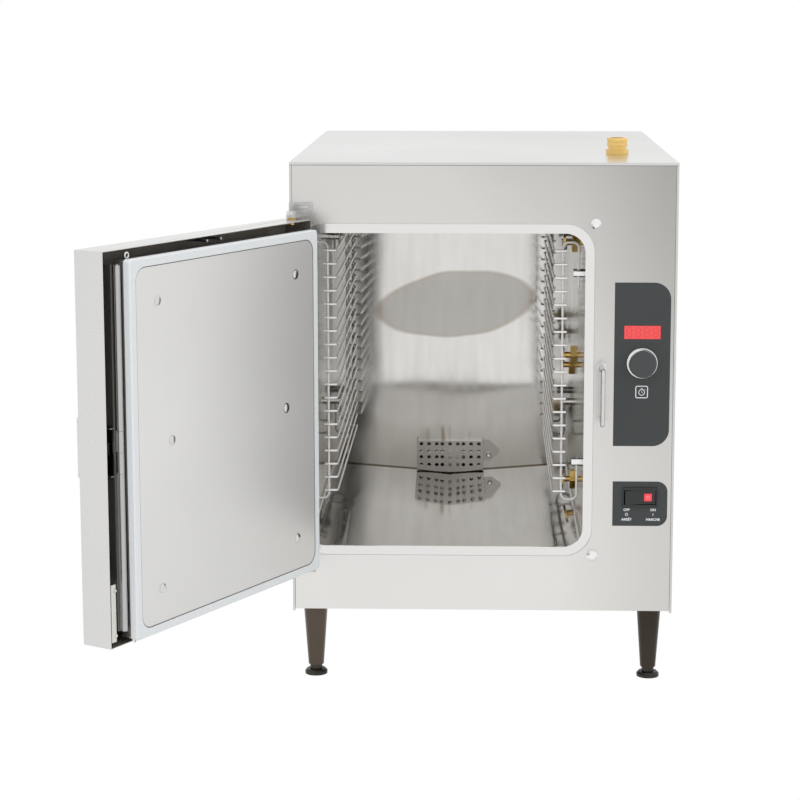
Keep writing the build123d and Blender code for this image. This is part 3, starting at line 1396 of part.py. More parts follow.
# Stiffener: a top-hat channel up the middle of the skin.
with BuildPart() as door_stiffener:
    with BuildSketch(level(DOOR_B + STIFF_END)):
        Polygon(*folded([
            (CAV_X + STIFF_W / 2 + STIFF_LIP, SKIN_IN), (CAV_X + STIFF_W / 2, SKIN_IN),
            (CAV_X + STIFF_W / 2, SKIN_IN + STIFF_D), (CAV_X - STIFF_W / 2, SKIN_IN + STIFF_D),
            (CAV_X - STIFF_W / 2, SKIN_IN), (CAV_X - STIFF_W / 2 - STIFF_LIP, SKIN_IN),
        ][::-1]), align=None)
    extrude(amount=DOOR_H - 2 * STIFF_END)
door_stiffener.part = swing_open(door_stiffener.part)
door_stiffener.part.label = "door_stiffener"
export_step(door_stiffener.part, "parts/door_stiffener.step")

# Hinge bushings: flanged sleeves in the pan's ends.
with BuildPart() as hinge_bushings:
    for wall, outward in ((DOOR_TOP, 1), (DOOR_B, -1)):
        with BuildSketch(level(wall)):
            with Locations((PIVOT_X, PIVOT_Y)):
                Circle(BUSH_FLANGE_R)
        extrude(amount=outward * BUSH_FLANGE_T)
        with BuildSketch(level(wall)):
            with Locations((PIVOT_X, PIVOT_Y)):
                Circle(BUSH_R)
        extrude(amount=-outward * (BUSH_L - BUSH_FLANGE_T))
        with BuildSketch(level(wall)):
            with Locations((PIVOT_X, PIVOT_Y)):
                Circle(PIN_R + PIN_PLAY)
        extrude(amount=BUSH_L, both=True, mode=Mode.SUBTRACT)
hinge_bushings.part = swing_open(hinge_bushings.part)
hinge_bushings.part.label = "hinge_bushings"
export_step(hinge_bushings.part, "parts/hinge_bushings.step")

# Latch case: two slotted ears on a web against the pan's edge, with the pawl's pin between them.
CASE_B = BASE + CASE_RISE
CASE_L = STRIKE_X - CASE_BEHIND
CASE_FRONT = RIM - CASE_SUNK
CASE_SLOT_END = STRIKE_Y - CASE_SLOT / 2
EDGE_IN = DOOR_R - SHEET
PAWL_X = STRIKE_X - PAWL_ASIDE
PAWL_Y = SKIN + PAWL_IN
with BuildPart() as latch_case:
    with BuildSketch(level(CASE_B)):
        Polygon(
            (CASE_L, SKIN_IN), (EDGE_IN - DOOR_BEND_R, SKIN_IN), (EDGE_IN, SKIN_IN + DOOR_BEND_R),
            (EDGE_IN, CASE_FRONT), (CASE_L, CASE_FRONT), align=None,
        )
    extrude(amount=CASE_H)
    with BuildSketch(level(CASE_B + CASE_SHEET)):
        Polygon(
            (CASE_L - 1, SKIN_IN - 1), (EDGE_IN - CASE_SHEET, SKIN_IN - 1), (EDGE_IN - CASE_SHEET, CASE_FRONT + 1),
            (CASE_L - 1, CASE_FRONT + 1), align=None,
        )
    extrude(amount=CASE_H - 2 * CASE_SHEET, mode=Mode.SUBTRACT)
    with BuildSketch(level(CASE_B)):
        with Locations((STRIKE_X, CASE_SLOT_END)):
            Circle(CASE_SLOT / 2)
        with Locations((STRIKE_X, (CASE_SLOT_END + CASE_FRONT) / 2 + 1)):
            Rectangle(CASE_SLOT, CASE_FRONT - CASE_SLOT_END + 2)
    extrude(amount=CASE_H, mode=Mode.SUBTRACT)
    with BuildSketch(level(CASE_B)):
        with Locations((PAWL_X, PAWL_Y)):
            Circle(PAWL_PIN_R)
    extrude(amount=CASE_H)
latch_case.part = swing_open(latch_case.part)
latch_case.part.label = "latch_case"
export_step(latch_case.part, "parts/latch_case.step")

# Pawl: turns on the case's pin and hooks round the strike's bar.
PAWL_B = BASE + PAWL_RISE
HOOK_FACE = STRIKE_Y + STRIKE_ROD_R + HOOK_PLAY
HOOK_BACK = HOOK_FACE + HOOK_T
ARM_R = STRIKE_X - STRIKE_ROD_R - ARM_PLAY
with BuildPart() as latch_pawl:
    with BuildSketch(level(PAWL_B)):
        Polygon(
            (PAWL_X - PAWL_R, PAWL_Y), (PAWL_X, PAWL_Y - PAWL_HEEL), (ARM_R - ARM_LEAN, PAWL_Y - PAWL_HEEL),
            (ARM_R, HOOK_FACE), (STRIKE_X + ARM_LEAN, HOOK_FACE), (STRIKE_X, HOOK_FACE + HOOK_T / 2),
            (ARM_R - ARM_LEAN, HOOK_BACK), (PAWL_X - PAWL_HEEL, HOOK_BACK), align=None,
        )
        with Locations((PAWL_X, PAWL_Y)):
            Circle(PAWL_R)
            Circle(PAWL_PIN_R + PIN_PLAY, mode=Mode.SUBTRACT)
    extrude(amount=PAWL_H)
latch_pawl.part = swing_open(latch_pawl.part)
latch_pawl.part.label = "latch_pawl"
export_step(latch_pawl.part, "parts/latch_pawl.step")

# Handle base: a plate on the skin with two ears and the pin between them.
HUB_X = STRIKE_X - HUB_ASIDE
HUB_Y = SKIN - HUB_OUT
EAR_LOW = BASE + EAR_RISE
with BuildPart() as handle_base:
    with BuildSketch(facing_front(SKIN)):
        with Locations((HUB_X, EAR_LOW + EAR_SPAN / 2)):
            RectangleRounded(HANDLE_PLATE_W, EAR_SPAN + 2 * HANDLE_PLATE_LAP, HANDLE_PLATE_R)
    extrude(amount=HANDLE_PLATE_T)
    for foot in (EAR_LOW, EAR_LOW + EAR_SPAN - EAR_T):
        with BuildSketch(level(foot)):
            with Locations((HUB_X, HUB_Y)):
                Circle(HUB_R)
            with Locations((HUB_X, (HUB_Y + SKIN) / 2)):
                Rectangle(2 * HUB_R, SKIN - HUB_Y)
        extrude(amount=EAR_T)
    with BuildSketch(level(EAR_LOW)):
        with Locations((HUB_X, HUB_Y)):
            Circle(HUB_PIN_R)
    extrude(amount=EAR_SPAN)
handle_base.part = swing_open(handle_base.part)
handle_base.part.label = "handle_base"
export_step(handle_base.part, "parts/handle_base.step")

# Handle: a hub, one flat arm and an upright grip.
GRIP_X = DOOR_R - GRIP_INSET
GRIP_Y = SKIN - GRIP_OUT
with BuildPart() as door_handle:
    with BuildSketch(level(EAR_LOW + EAR_T + RUN_GAP)):
        with Locations((HUB_X, HUB_Y)):
            Circle(HUB_R)
    extrude(amount=EAR_SPAN - 2 * EAR_T - 2 * RUN_GAP)
    with BuildSketch(level(EAR_LOW + EAR_SPAN / 2)):
        Polygon(
            (HUB_X - ARM_W / 4, HUB_Y + ARM_W / 2), (HUB_X + ARM_W / 4, HUB_Y - ARM_W / 2), (GRIP_X, GRIP_Y - ARM_W / 2),
            (GRIP_X, GRIP_Y + ARM_W / 2), align=None,
        )
    extrude(amount=ARM_T / 2, both=True)
    with BuildSketch(level(EAR_LOW + EAR_SPAN / 2)):
        with Locations((GRIP_X, GRIP_Y)):
            Circle(GRIP_R)
    extrude(amount=GRIP_L / 2, both=True)
    chamfer(edges().filter_by(GeomType.CIRCLE).group_by(Axis.Z)[0], GRIP_EDGE)
    chamfer(edges().filter_by(GeomType.CIRCLE).group_by(Axis.Z)[-1], GRIP_EDGE)
    with BuildSketch(level(EAR_LOW)):
        with Locations((HUB_X, HUB_Y)):
            Circle(HUB_PIN_R + PIN_PLAY)
    extrude(amount=EAR_SPAN, mode=Mode.SUBTRACT)
door_handle.part = swing_open(door_handle.part)
door_handle.part.label = "door_handle"
export_step(door_handle.part, "parts/door_handle.step")

# Liner hinge post: a wall from the skin, its front leaf, the fixed knuckles and the pin.
POST_X = KNUCKLE_X + POST_ASIDE
LEAF_Y = RIM - LEAF_SUNK
POST_END_L = KNUCKLE_X - LEAF_LAP
KNUCKLE_MID = DOOR_Z - KNUCKLE_SHIFT
KNUCKLE_ZS = [
    DOOR_B + KNUCKLE_END, KNUCKLE_MID - KNUCKLE_L, KNUCKLE_MID, KNUCKLE_MID + KNUCKLE_L, DOOR_TOP - KNUCKLE_TOP_END,
]
with BuildPart() as liner_hinge_post:
    with BuildSketch(level(KNUCKLE_ZS[0])):
        Polygon(*folded([
            (POST_X + SHEET, SKIN_IN), (POST_X + SHEET, LEAF_Y), (POST_END_L, LEAF_Y),
        ]), align=None)
    extrude(amount=KNUCKLE_ZS[4] - KNUCKLE_ZS[0])
    with BuildSketch(facing_right(POST_X)):
        with Locations(((SKIN_IN + CASE_FRONT) / 2, CASE_B + CASE_H / 2)):
            Rectangle(CASE_FRONT - SKIN_IN + 2 * SEAM, CASE_H + 2 * KNUCKLE_WEB)
    extrude(amount=SHEET, mode=Mode.SUBTRACT)
    for foot, end in ((KNUCKLE_ZS[0], KNUCKLE_ZS[1]), (KNUCKLE_ZS[2], KNUCKLE_ZS[3])):
        with BuildSketch(level(foot)):
            with Locations((KNUCKLE_X, KNUCKLE_Y)):
                Circle(KNUCKLE_R)
            with Locations((KNUCKLE_X, (LEAF_Y + RIM) / 2)):
                Rectangle(KNUCKLE_WEB, RIM - LEAF_Y + LEAF_SUNK)
        extrude(amount=end - foot - RUN_GAP)
    with BuildSketch(level(KNUCKLE_ZS[0])):
        with Locations((KNUCKLE_X, KNUCKLE_Y)):
            Circle(LINER_PIN_R)
    extrude(amount=KNUCKLE_ZS[4] - KNUCKLE_ZS[0] + 1)
liner_hinge_post.part = swing_open(liner_hinge_post.part)
liner_hinge_post.part.label = "liner_hinge_post"
export_step(liner_hinge_post.part, "parts/liner_hinge_post.step")

# Float posts: short stops on the skin above and below the liner.
with BuildPart() as float_posts:
    with BuildSketch(facing_front(SKIN_IN)):
        with Locations(*[(MID_X + x, z) for x in FLOAT_ASIDES for z in (DOOR_B + FLOAT_LOW, DOOR_TOP - FLOAT_UP)]):
            RegularPolygon(FLOAT_R, WIRE_SIDES)
    extrude(amount=-(RIM - SKIN_IN))
float_posts.part = swing_open(float_posts.part)
float_posts.part.label = "float_posts"
export_step(float_posts.part, "parts/float_posts.step")

# Switch plate: a pale bracket near the pan's edge, with two dome screws.
PLATE_B = BASE + PLATE_RISE
PLATE_R = DOOR_R - PLATE_INSET
PLATE_L = PLATE_R - PLATE_LEAF
PLATE_Y = RIM - PLATE_SUNK
with BuildPart() as switch_plate:
    with BuildSketch(level(PLATE_B)):
        Polygon(*folded([
            (PLATE_R, SKIN_IN), (PLATE_R, PLATE_Y), (PLATE_L, PLATE_Y),
        ]), align=None)
    extrude(amount=PLATE_H)
    with BuildSketch(facing_front(PLATE_Y)):
        with Locations(*[
            (PLATE_L + PLATE_SCREW_R, PLATE_B + up) for up in (PLATE_SCREW_INSET, PLATE_H - PLATE_SCREW_INSET)
        ]):
            Circle(PLATE_SCREW_R)
    extrude(amount=-PLATE_SCREW_T)
switch_plate.part = swing_open(switch_plate.part)
switch_plate.part.label = "switch_plate"
export_step(switch_plate.part, "parts/switch_plate.step")

# Door magnet: a dark box behind the plate's edge that works the door switch.
BOX_B = BASE + BOX_RISE
BOX_L = POST_X + SHEET + SEAM
with BuildPart() as door_magnet:
    with BuildSketch(level(BOX_B)):
        with Locations(((BOX_L + PLATE_R - SHEET) / 2, (SKIN_IN + PLATE_Y - BOX_SUNK) / 2)):
            Rectangle(PLATE_R - SHEET - BOX_L, PLATE_Y - BOX_SUNK - SKIN_IN)
    extrude(amount=BOX_H)
door_magnet.part = swing_open(door_magnet.part)
door_magnet.part.label = "door_magnet"
export_step(door_magnet.part, "parts/door_magnet.step")

# ---- Floating liner, on its own long hinge inside the door ----
# Gasket: a moulded rectangle that meets the front panel round the opening.
with BuildPart() as gasket:
    with BuildSketch(facing_front(SEAL_BACK)):
        with Locations((CAV_X, CAV_Z)):
            RectangleRounded(SEAL_W, SEAL_H, SEAL_CORNER_R)
            RectangleRounded(SEAL_W - 2 * SEAL_BAND, SEAL_H - 2 * SEAL_BAND, LINER_PLATE_R, mode=Mode.SUBTRACT)
    extrude(amount=-SEAL_T)
    chamfer(faces().sort_by(Axis.Y)[-1].outer_wire().edges(), SEAL_EDGE)
gasket.part = swing_open(gasket.part)
gasket.part.label = "gasket"
export_step(gasket.part, "parts/gasket.step")

# Liner plate: a shallow dished plate inside the gasket.
with BuildPart() as liner_plate:
    with BuildSketch(facing_front(SEAL_BACK)):
        with Locations((CAV_X, CAV_Z)):
            RectangleRounded(
                SEAL_W - 2 * SEAL_BAND - 2 * SEAM, SEAL_H - 2 * SEAL_BAND - 2 * SEAM, LINER_PLATE_R - SEAM,
            )
    extrude(amount=-(SEAL_T - PLATE_BACKSET))
    offset(amount=-LINER_PLATE_T, openings=faces().sort_by(Axis.Y)[0])
liner_plate.part = swing_open(liner_plate.part)
liner_plate.part.label = "liner_plate"
export_step(liner_plate.part, "parts/liner_plate.step")

# Liner back: a tray behind the gasket, with the turning knuckles on its latch side.
BACK_EDGE = CAV_X + SEAL_W / 2 - BACK_INSET
with BuildPart() as liner_back:
    with BuildSketch(facing_front(SEAL_BACK)):
        with Locations((CAV_X, CAV_Z)):
            RectangleRounded(SEAL_W - 2 * BACK_INSET, SEAL_H - 2 * BACK_INSET, SEAL_CORNER_R - BACK_INSET)
    extrude(amount=LINER_BACK_D)
    offset(amount=-SHEET, openings=faces().sort_by(Axis.Y)[0])
    for foot, end in ((KNUCKLE_ZS[1], KNUCKLE_ZS[2]), (KNUCKLE_ZS[3], KNUCKLE_ZS[4])):
        with BuildSketch(level(foot)):
            with Locations((KNUCKLE_X, KNUCKLE_Y)):
                Circle(KNUCKLE_R)
            with Locations(((BACK_EDGE - SHEET + KNUCKLE_X) / 2, RIM + SHEET / 2)):
                Rectangle(KNUCKLE_X - BACK_EDGE + SHEET, SHEET)
            with Locations((KNUCKLE_X, KNUCKLE_Y)):
                Circle(LINER_PIN_R + PIN_PLAY, mode=Mode.SUBTRACT)
        extrude(amount=end - foot - RUN_GAP)
liner_back.part = swing_open(liner_back.part)
liner_back.part.label = "liner_back"
export_step(liner_back.part, "parts/liner_back.step")

# Liner rivets: six low domes through the plate into the tray.
RIVETS = [(CAV_X + x, CAV_Z + z) for x in (-RIVET_SPREAD, RIVET_SPREAD) for z in (-RIVET_RISE, RIVET_RISE)] + [
    (CAV_X + x, CAV_Z + RIVET_LIFT) for x in (-RIVET_MID, RIVET_MID)
]
with BuildPart() as liner_rivets:
    with BuildSketch(facing_front(SEAL_FACE - PLATE_BACKSET)):
        with Locations(*RIVETS):
            Circle(RIVET_R)
    extrude(amount=-RIVET_HEAD, taper=RIVET_TAPER)
liner_rivets.part = swing_open(liner_rivets.part)
liner_rivets.part.label = "liner_rivets"
export_step(liner_rivets.part, "parts/liner_rivets.step")

# Corner clips: wire eyelets at the liner's latch-side corners.
CLIP_Y = SEAL_BACK - CLIP_OUT
with BuildPart() as corner_clips:
    with BuildSketch(facing_front(CLIP_Y)):
        for z in (CAV_Z - SEAL_H / 2 + BACK_INSET - CLIP_R, CAV_Z + SEAL_H / 2 - BACK_INSET + CLIP_R):
            with Locations((BACK_EDGE - 3 * CLIP_R, z)):
                Circle(CLIP_R)
                Circle(CLIP_HOLE_R, mode=Mode.SUBTRACT)
    extrude(amount=CLIP_T)
corner_clips.part = swing_open(corner_clips.part)
corner_clips.part.label = "corner_clips"
export_step(corner_clips.part, "parts/corner_clips.step")
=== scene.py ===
import bmesh
import bpy
import math
from mathutils import Matrix, Vector


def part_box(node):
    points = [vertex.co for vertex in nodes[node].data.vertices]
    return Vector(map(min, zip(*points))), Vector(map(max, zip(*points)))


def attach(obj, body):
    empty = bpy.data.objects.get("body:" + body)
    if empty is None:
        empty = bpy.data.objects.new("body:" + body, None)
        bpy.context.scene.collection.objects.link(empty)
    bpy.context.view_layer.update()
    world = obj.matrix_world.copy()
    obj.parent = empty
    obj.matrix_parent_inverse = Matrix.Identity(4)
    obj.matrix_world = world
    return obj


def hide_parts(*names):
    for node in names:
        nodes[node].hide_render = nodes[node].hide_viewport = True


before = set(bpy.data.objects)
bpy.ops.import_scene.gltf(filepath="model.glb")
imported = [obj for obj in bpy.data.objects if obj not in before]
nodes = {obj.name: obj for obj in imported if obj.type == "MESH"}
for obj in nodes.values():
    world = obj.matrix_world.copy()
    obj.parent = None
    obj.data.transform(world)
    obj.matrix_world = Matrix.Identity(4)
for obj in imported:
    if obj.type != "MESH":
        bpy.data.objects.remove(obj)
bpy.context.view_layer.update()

# ---- Cabinet shell: front, sides, lid, back and base pan ----
# Folded stainless sheet about 1.2 mm thick, ground to a fine satin with the grain running across.
# The side sheets wrap round the front sheet's edges, and the lid drops over both.
WHITE = (1, 1, 1)
CLOUD_STRETCH = (2.2, 2.2, 2.2)
GRAIN_SHADE = (0.55, 0.55, 0.55)
GRAIN_STRENGTH = 0.03
GRAIN_SHINE = 0.006
GRAIN_RELIEF = 0.02
GRAIN_DEPTH = 0.00002
DRIFT_WARMTH = 0.995
FOLD_ANGLE = 0.6
CORNER_GAP = 0.00001


def add_node(tree, kind, settings=None, **inputs):
    """Add a node; an input is a value or a socket, named with _ for a space, or i0, i1 by its place."""
    made = tree.nodes.new(kind)
    for key, value in (settings or {}).items():
        setattr(made, key, value)
    for key, value in inputs.items():
        by_place = key[0] == "i" and key[1:].isdigit()
        socket = made.inputs[int(key[1:])] if by_place else made.inputs[key.replace("_", " ")]
        if isinstance(value, bpy.types.NodeSocket):
            tree.links.new(value, socket)
        else:
            socket.default_value = value
    return made


def blank_finish(name):
    """A new material with its node tree emptied; gives (material, tree)."""
    made = bpy.data.materials.new(name)
    made.use_nodes = True
    made.node_tree.nodes.clear()
    return made, made.node_tree


def coated(made, shader):
    """The material with this shader as its surface."""
    add_node(made.node_tree, "ShaderNodeOutputMaterial", Surface=shader)
    return made


def skin(tree, **inputs):
    """A surface shader with these inputs."""
    return add_node(tree, "ShaderNodeBsdfPrincipled", **inputs).outputs[0]


def stretched_noise(tree, stretch, detail):
    """Noise drawn out along the axes where stretch is small; gives its factor socket."""
    where = add_node(tree, "ShaderNodeTexCoord").outputs["Object"]
    drawn = add_node(tree, "ShaderNodeMapping", Vector=where, Scale=stretch).outputs[0]
    return add_node(tree, "ShaderNodeTexNoise", Vector=drawn, Scale=1.0, Detail=detail).outputs["Fac"]


def ranged(tree, factor, low, high, start=0.3, end=0.7):
    """The factor's middle stretch, start to end, spread over low to high."""
    return add_node(tree, "ShaderNodeMapRange", Value=factor, From_Min=start, From_Max=end,
                    To_Min=low, To_Max=high).outputs[0]


def rising(tree, factor, start=0.3, end=0.7):
    """0 up to start, 1 from end on, and a straight slope between."""
    return ranged(tree, factor, 0.0, 1.0, start, end)


def falling(tree, factor, start, end):
    """1 up to start, 0 from end on, and a straight slope between."""
    return ranged(tree, factor, 1.0, 0.0, start, end)


def opaque(colour):
    """A colour with its alpha, or a socket as it is."""
    return (*colour, 1) if isinstance(colour, tuple) else colour


def tinted(tree, factor, first, second):
    """A colour between two shades by a factor."""
    return add_node(tree, "ShaderNodeMix", {"data_type": "RGBA"},
                    i0=factor, i6=opaque(first), i7=opaque(second)).outputs[2]


def times_colour(tree, colour, tint, strength=1.0):
    """A colour multiplied by another, by strength."""
    return add_node(tree, "ShaderNodeMix", {"data_type": "RGBA", "blend_type": "MULTIPLY"},
                    i0=strength, i6=opaque(colour), i7=opaque(tint)).outputs[2]


def measured(tree, kind, *values):
    """One step of arithmetic on sockets or numbers."""
    inputs = {"i%d" % place: value for place, value in enumerate(values)}
    return add_node(tree, "ShaderNodeMath", {"operation": kind}, **inputs).outputs[0]


def ground_skin(tree, light, dark, shine, grain, drifts=(), metallic=1.0):
    """Ground stainless sheet: two shades, a roughness range and the grain's lines per metre along x, y, z.

    Each of drifts is (direction, start, end, share): the tone falls to share along direction, in metres.
    """
    clouds = stretched_noise(tree, CLOUD_STRETCH, 4.0)
    lines = stretched_noise(tree, grain, 2.0)
    shade = tinted(tree, rising(tree, clouds), light, dark)
    tone = times_colour(tree, shade, tinted(tree, lines, WHITE, GRAIN_SHADE), GRAIN_STRENGTH)
    # Each drift paints a darker slope into the tone: painted shade on the front sheet and the legs, and a
    # darkening towards the bottom on the liner plate.
    for direction, start, end, share in drifts:
        where = add_node(tree, "ShaderNodeTexCoord").outputs["Object"]
        along = add_node(tree, "ShaderNodeVectorMath", {"operation": "DOT_PRODUCT"}, i0=where, i1=direction)
        drift = rising(tree, along.outputs["Value"], start, end)
        tone = times_colour(tree, tone, tinted(tree, drift, WHITE, (share, share, share * DRIFT_WARMTH)))
    line_rough = ranged(tree, lines, -GRAIN_SHINE, GRAIN_SHINE)
    rough = measured(tree, "ADD", ranged(tree, clouds, *shine), line_rough)
    scored = add_node(tree, "ShaderNodeBump", Height=lines, Strength=GRAIN_RELIEF, Distance=GRAIN_DEPTH)
    return skin(tree, Base_Color=tone, Metallic=metallic, Roughness=rough, Normal=scored.outputs[0])


def ground_steel(name, *look, **more):
    """A finish of ground stainless sheet."""
    made, tree = blank_finish(name)
    return coated(made, ground_skin(tree, *look, **more))


def group_socket(tree, name, kind, way="INPUT"):
    """A named socket on a node group's outside."""
    tree.interface.new_socket(name, in_out=way, socket_type=kind)


def softened_edges():
    """A node group that merges a sheet's corners and shades it smooth except at its sharp folds."""
    tree = bpy.data.node_groups.new("softened_edges", "GeometryNodeTree")
    group_socket(tree, "Sheet", "NodeSocketGeometry")
    group_socket(tree, "Fold angle", "NodeSocketFloat")
    group_socket(tree, "Softened", "NodeSocketGeometry", "OUTPUT")
    entry = add_node(tree, "NodeGroupInput")
    merged = add_node(tree, "GeometryNodeMergeByDistance", Geometry=entry.outputs["Sheet"],
                      Distance=CORNER_GAP)
    smooth = add_node(tree, "GeometryNodeSetShadeSmooth", i0=merged.outputs[0])
    bend = add_node(tree, "GeometryNodeInputMeshEdgeAngle")
    sharp = add_node(tree, "FunctionNodeCompare", {"operation": "GREATER_THAN"},
                     i0=bend.outputs[0], i1=entry.outputs["Fold angle"])
    creased = add_node(tree, "GeometryNodeSetShadeSmooth", {"domain": "EDGE"},
                       Geometry=smooth.outputs[0], Selection=sharp.outputs[0], Shade_Smooth=False)
    add_node(tree, "NodeGroupOutput", i0=creased.outputs[0])
    return tree


def run_tree(piece, tree, **settings):
    """Put a node group on a piece and set its inputs by their identifiers."""
    modifier = piece.modifiers.new(tree.name, "NODES")
    modifier.node_group = tree
    for item in tree.interface.items_tree:
        key = item.name.replace(" ", "_")
        if item.in_out == "INPUT" and key in settings:
            modifier[item.identifier] = settings[key]


soften_tree = softened_edges()


def dress(finish, *names, edge=0.0004):
    """Give CAD nodes a finish, smooth shading on their rounds and folds rounded by edge metres."""
    for name in names:
        piece = nodes[name]
        piece.data.materials.clear()
        piece.data.materials.append(finish)
        run_tree(piece, soften_tree, Fold_angle=FOLD_ANGLE)
        if edge:
            rounding = piece.modifiers.new("rounded_edges", "BEVEL")
            rounding.width = edge
            rounding.segments = 2
            rounding.limit_method = "ANGLE"
            rounding.angle_limit = FOLD_ANGLE


ACROSS = (2, 2, 700)
FRONT_TO_BACK = (2, 700, 2)
COARSE_ACROSS = (10, 10, 500)
UP, RIGHT, UP_AND_RIGHT = (0, 0, 1), (1, 0, 0), (0.75, 0, 0.65)
# The front sheet is painted darker towards the top, towards the right and most of all at its top right:
# painted shade standing in for the fall of the reflected light.
FRONT_PAINTED_SHADE = ((UP, 0.20, 0.75, 0.87), (RIGHT, 0.36, 0.50, 0.84), (UP_AND_RIGHT, 0.62, 0.88, 0.72))
satin_front = ground_steel("satin_front", (0.80, 0.79, 0.77), (0.75, 0.74, 0.72), (0.26, 0.34),
                           ACROSS, FRONT_PAINTED_SHADE)
satin_side = ground_steel("satin_side", (0.66, 0.655, 0.64), (0.60, 0.595, 0.58), (0.24, 0.32), ACROSS)
satin_lid = ground_steel("satin_lid", (0.68, 0.68, 0.67), (0.64, 0.64, 0.63), (0.22, 0.30), FRONT_TO_BACK)
plain_sheet = ground_steel("plain_sheet", (0.55, 0.55, 0.54), (0.48, 0.48, 0.47), (0.30, 0.42),
                           COARSE_ACROSS)
dress(satin_front, "front_panel")
dress(satin_side, "left_side_panel", "right_side_panel", edge=0.0005)
dress(satin_lid, "top_panel")
dress(plain_sheet, "rear_panel", "base_pan")

# ---- Steam cavity: the bright box that holds the pans ----
# Deep-drawn and welded stainless, polished nearly to a mirror; its shallow V floor drains to the back.
# The back wall is pressed slightly forward and steam has left a few runs on it; the tan-edged oval on it is
# a painted reflection.
# The floor is painted darker, most of all to the rear, and the side walls darker in brown streaks: painted
# shade and reflection.
CAVITY_LOW, CAVITY_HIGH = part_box("cavity_shell")
CAVITY_X = (CAVITY_LOW.x + CAVITY_HIGH.x) / 2
BACK_ZONE = 0.1
FLANGE_ZONE = 0.004
FLANGE_TONE = (0.775, 0.765, 0.75)
FACING_UP = (0.4, 0.6)
FACING_ASIDE = (0.5, 0.8)
FACING_FRONT = (-0.9, -0.7)
POLISH_METAL = 0.92
POLISH_CLOUDS = (5, 3, 5)
POLISH_LIGHT, POLISH_DARK = (0.80, 0.795, 0.78), (0.73, 0.72, 0.70)
POLISH_SHINE = (0.07, 0.11)
WIPES = (70, 8, 9)
WIPE_TINT = (0.86, 0.85, 0.83)
WIPE_SHINE = (-0.01, 0.03)
WAVES = (7, 4, 6)
WAVE_RELIEF = 0.25
WAVE_DEPTH = 0.006
# Painted shade and reflection: the V floor darker than the walls and darker still to the rear, the side
# walls darker and browner in streaks.
V_FLOOR_Z = 0.188
V_FLOOR_SLOPE = 0.078
V_FLOOR_GRAIN = (14, 3, 14)
V_FLOOR_LIGHT, V_FLOOR_DARK = (0.76, 0.745, 0.72), (0.60, 0.585, 0.56)
V_FLOOR_SHINE = -0.035
REAR_FLOOR_SHADE = (0.66, 0.645, 0.62)
REAR_FLOOR_ZONE = (0.25, 0.50)
SIDE_STREAKS = (40, 40, 2.5)
STREAK_BAND = (0.35, 0.65)
SIDE_LIGHT, SIDE_DARK = (0.74, 0.67, 0.57), (0.40, 0.365, 0.32)
THROUGH = 1000.0
BULGE_SPOT = (0.225, 0.0, 0.46)
BULGE_DEPTH = 0.13
BULGE_ACROSS = 0.6
# Painted reflection: a wavering, tilted oval on the back wall, darker than the wall, with a tan rim.
REFLECTION_OVAL_SPOT = (0.195, 0.0, 0.474)
REFLECTION_OVAL_REACH = (0.140, THROUGH, 0.056)
REFLECTION_OVAL_TILT = math.radians(-5)
REFLECTION_OVAL_WAVER = 0.03
REFLECTION_OVAL_EDGE = (0.94, 1.02)
REFLECTION_OVAL_TINT = (0.61, 0.60, 0.58)
REFLECTION_OVAL_RIM = (0.86, 0.99)
REFLECTION_OVAL_RIM_TINT = (1.0, 0.93, 0.86)
RUNS_SPOT = (0.182, 0.0, 0.252)
RUNS_REACH = (0.050, THROUGH, 0.020)
RUNS_EDGE = (0.4, 1.0)
RUNS_TINT = (0.62, 0.54, 0.46)
DRIPS = (130, 130, 6)
DRIP_BAND = (0.5, 0.62)
SEAM_WIDTH = 0.0022
SEAM_TINT = (0.30, 0.25, 0.20)


def oval(tree, where, spot, reach, tilt=0.0):
    """How far a point is from an oval's middle on the back wall, 1 at its edge."""
    fitted = add_node(tree, "ShaderNodeMapping", {"vector_type": "TEXTURE"}, Vector=where, Location=spot,
                      Rotation=(0, tilt, 0), Scale=reach)
    reached = add_node(tree, "ShaderNodeVectorMath", {"operation": "LENGTH"}, i0=fitted.outputs[0])
    return reached.outputs["Value"]


def shaded_floor_and_walls(tree, tone, place, on_floor, on_side):
    """The polish's tone with painted shade and reflection: a darker floor that darkens further to the rear,
    and side walls darker in brown streaks.
    """
    floor_tone = tinted(tree, stretched_noise(tree, V_FLOOR_GRAIN, 3.0), V_FLOOR_LIGHT, V_FLOOR_DARK)
    rearward = rising(tree, place["Y"], *REAR_FLOOR_ZONE)
    tone = times_colour(tree, tone, times_colour(tree, floor_tone, REAR_FLOOR_SHADE, rearward), on_floor)
    streaks = rising(tree, stretched_noise(tree, SIDE_STREAKS, 4.0), *STREAK_BAND)
    return times_colour(tree, tone, tinted(tree, streaks, SIDE_LIGHT, SIDE_DARK), on_side)


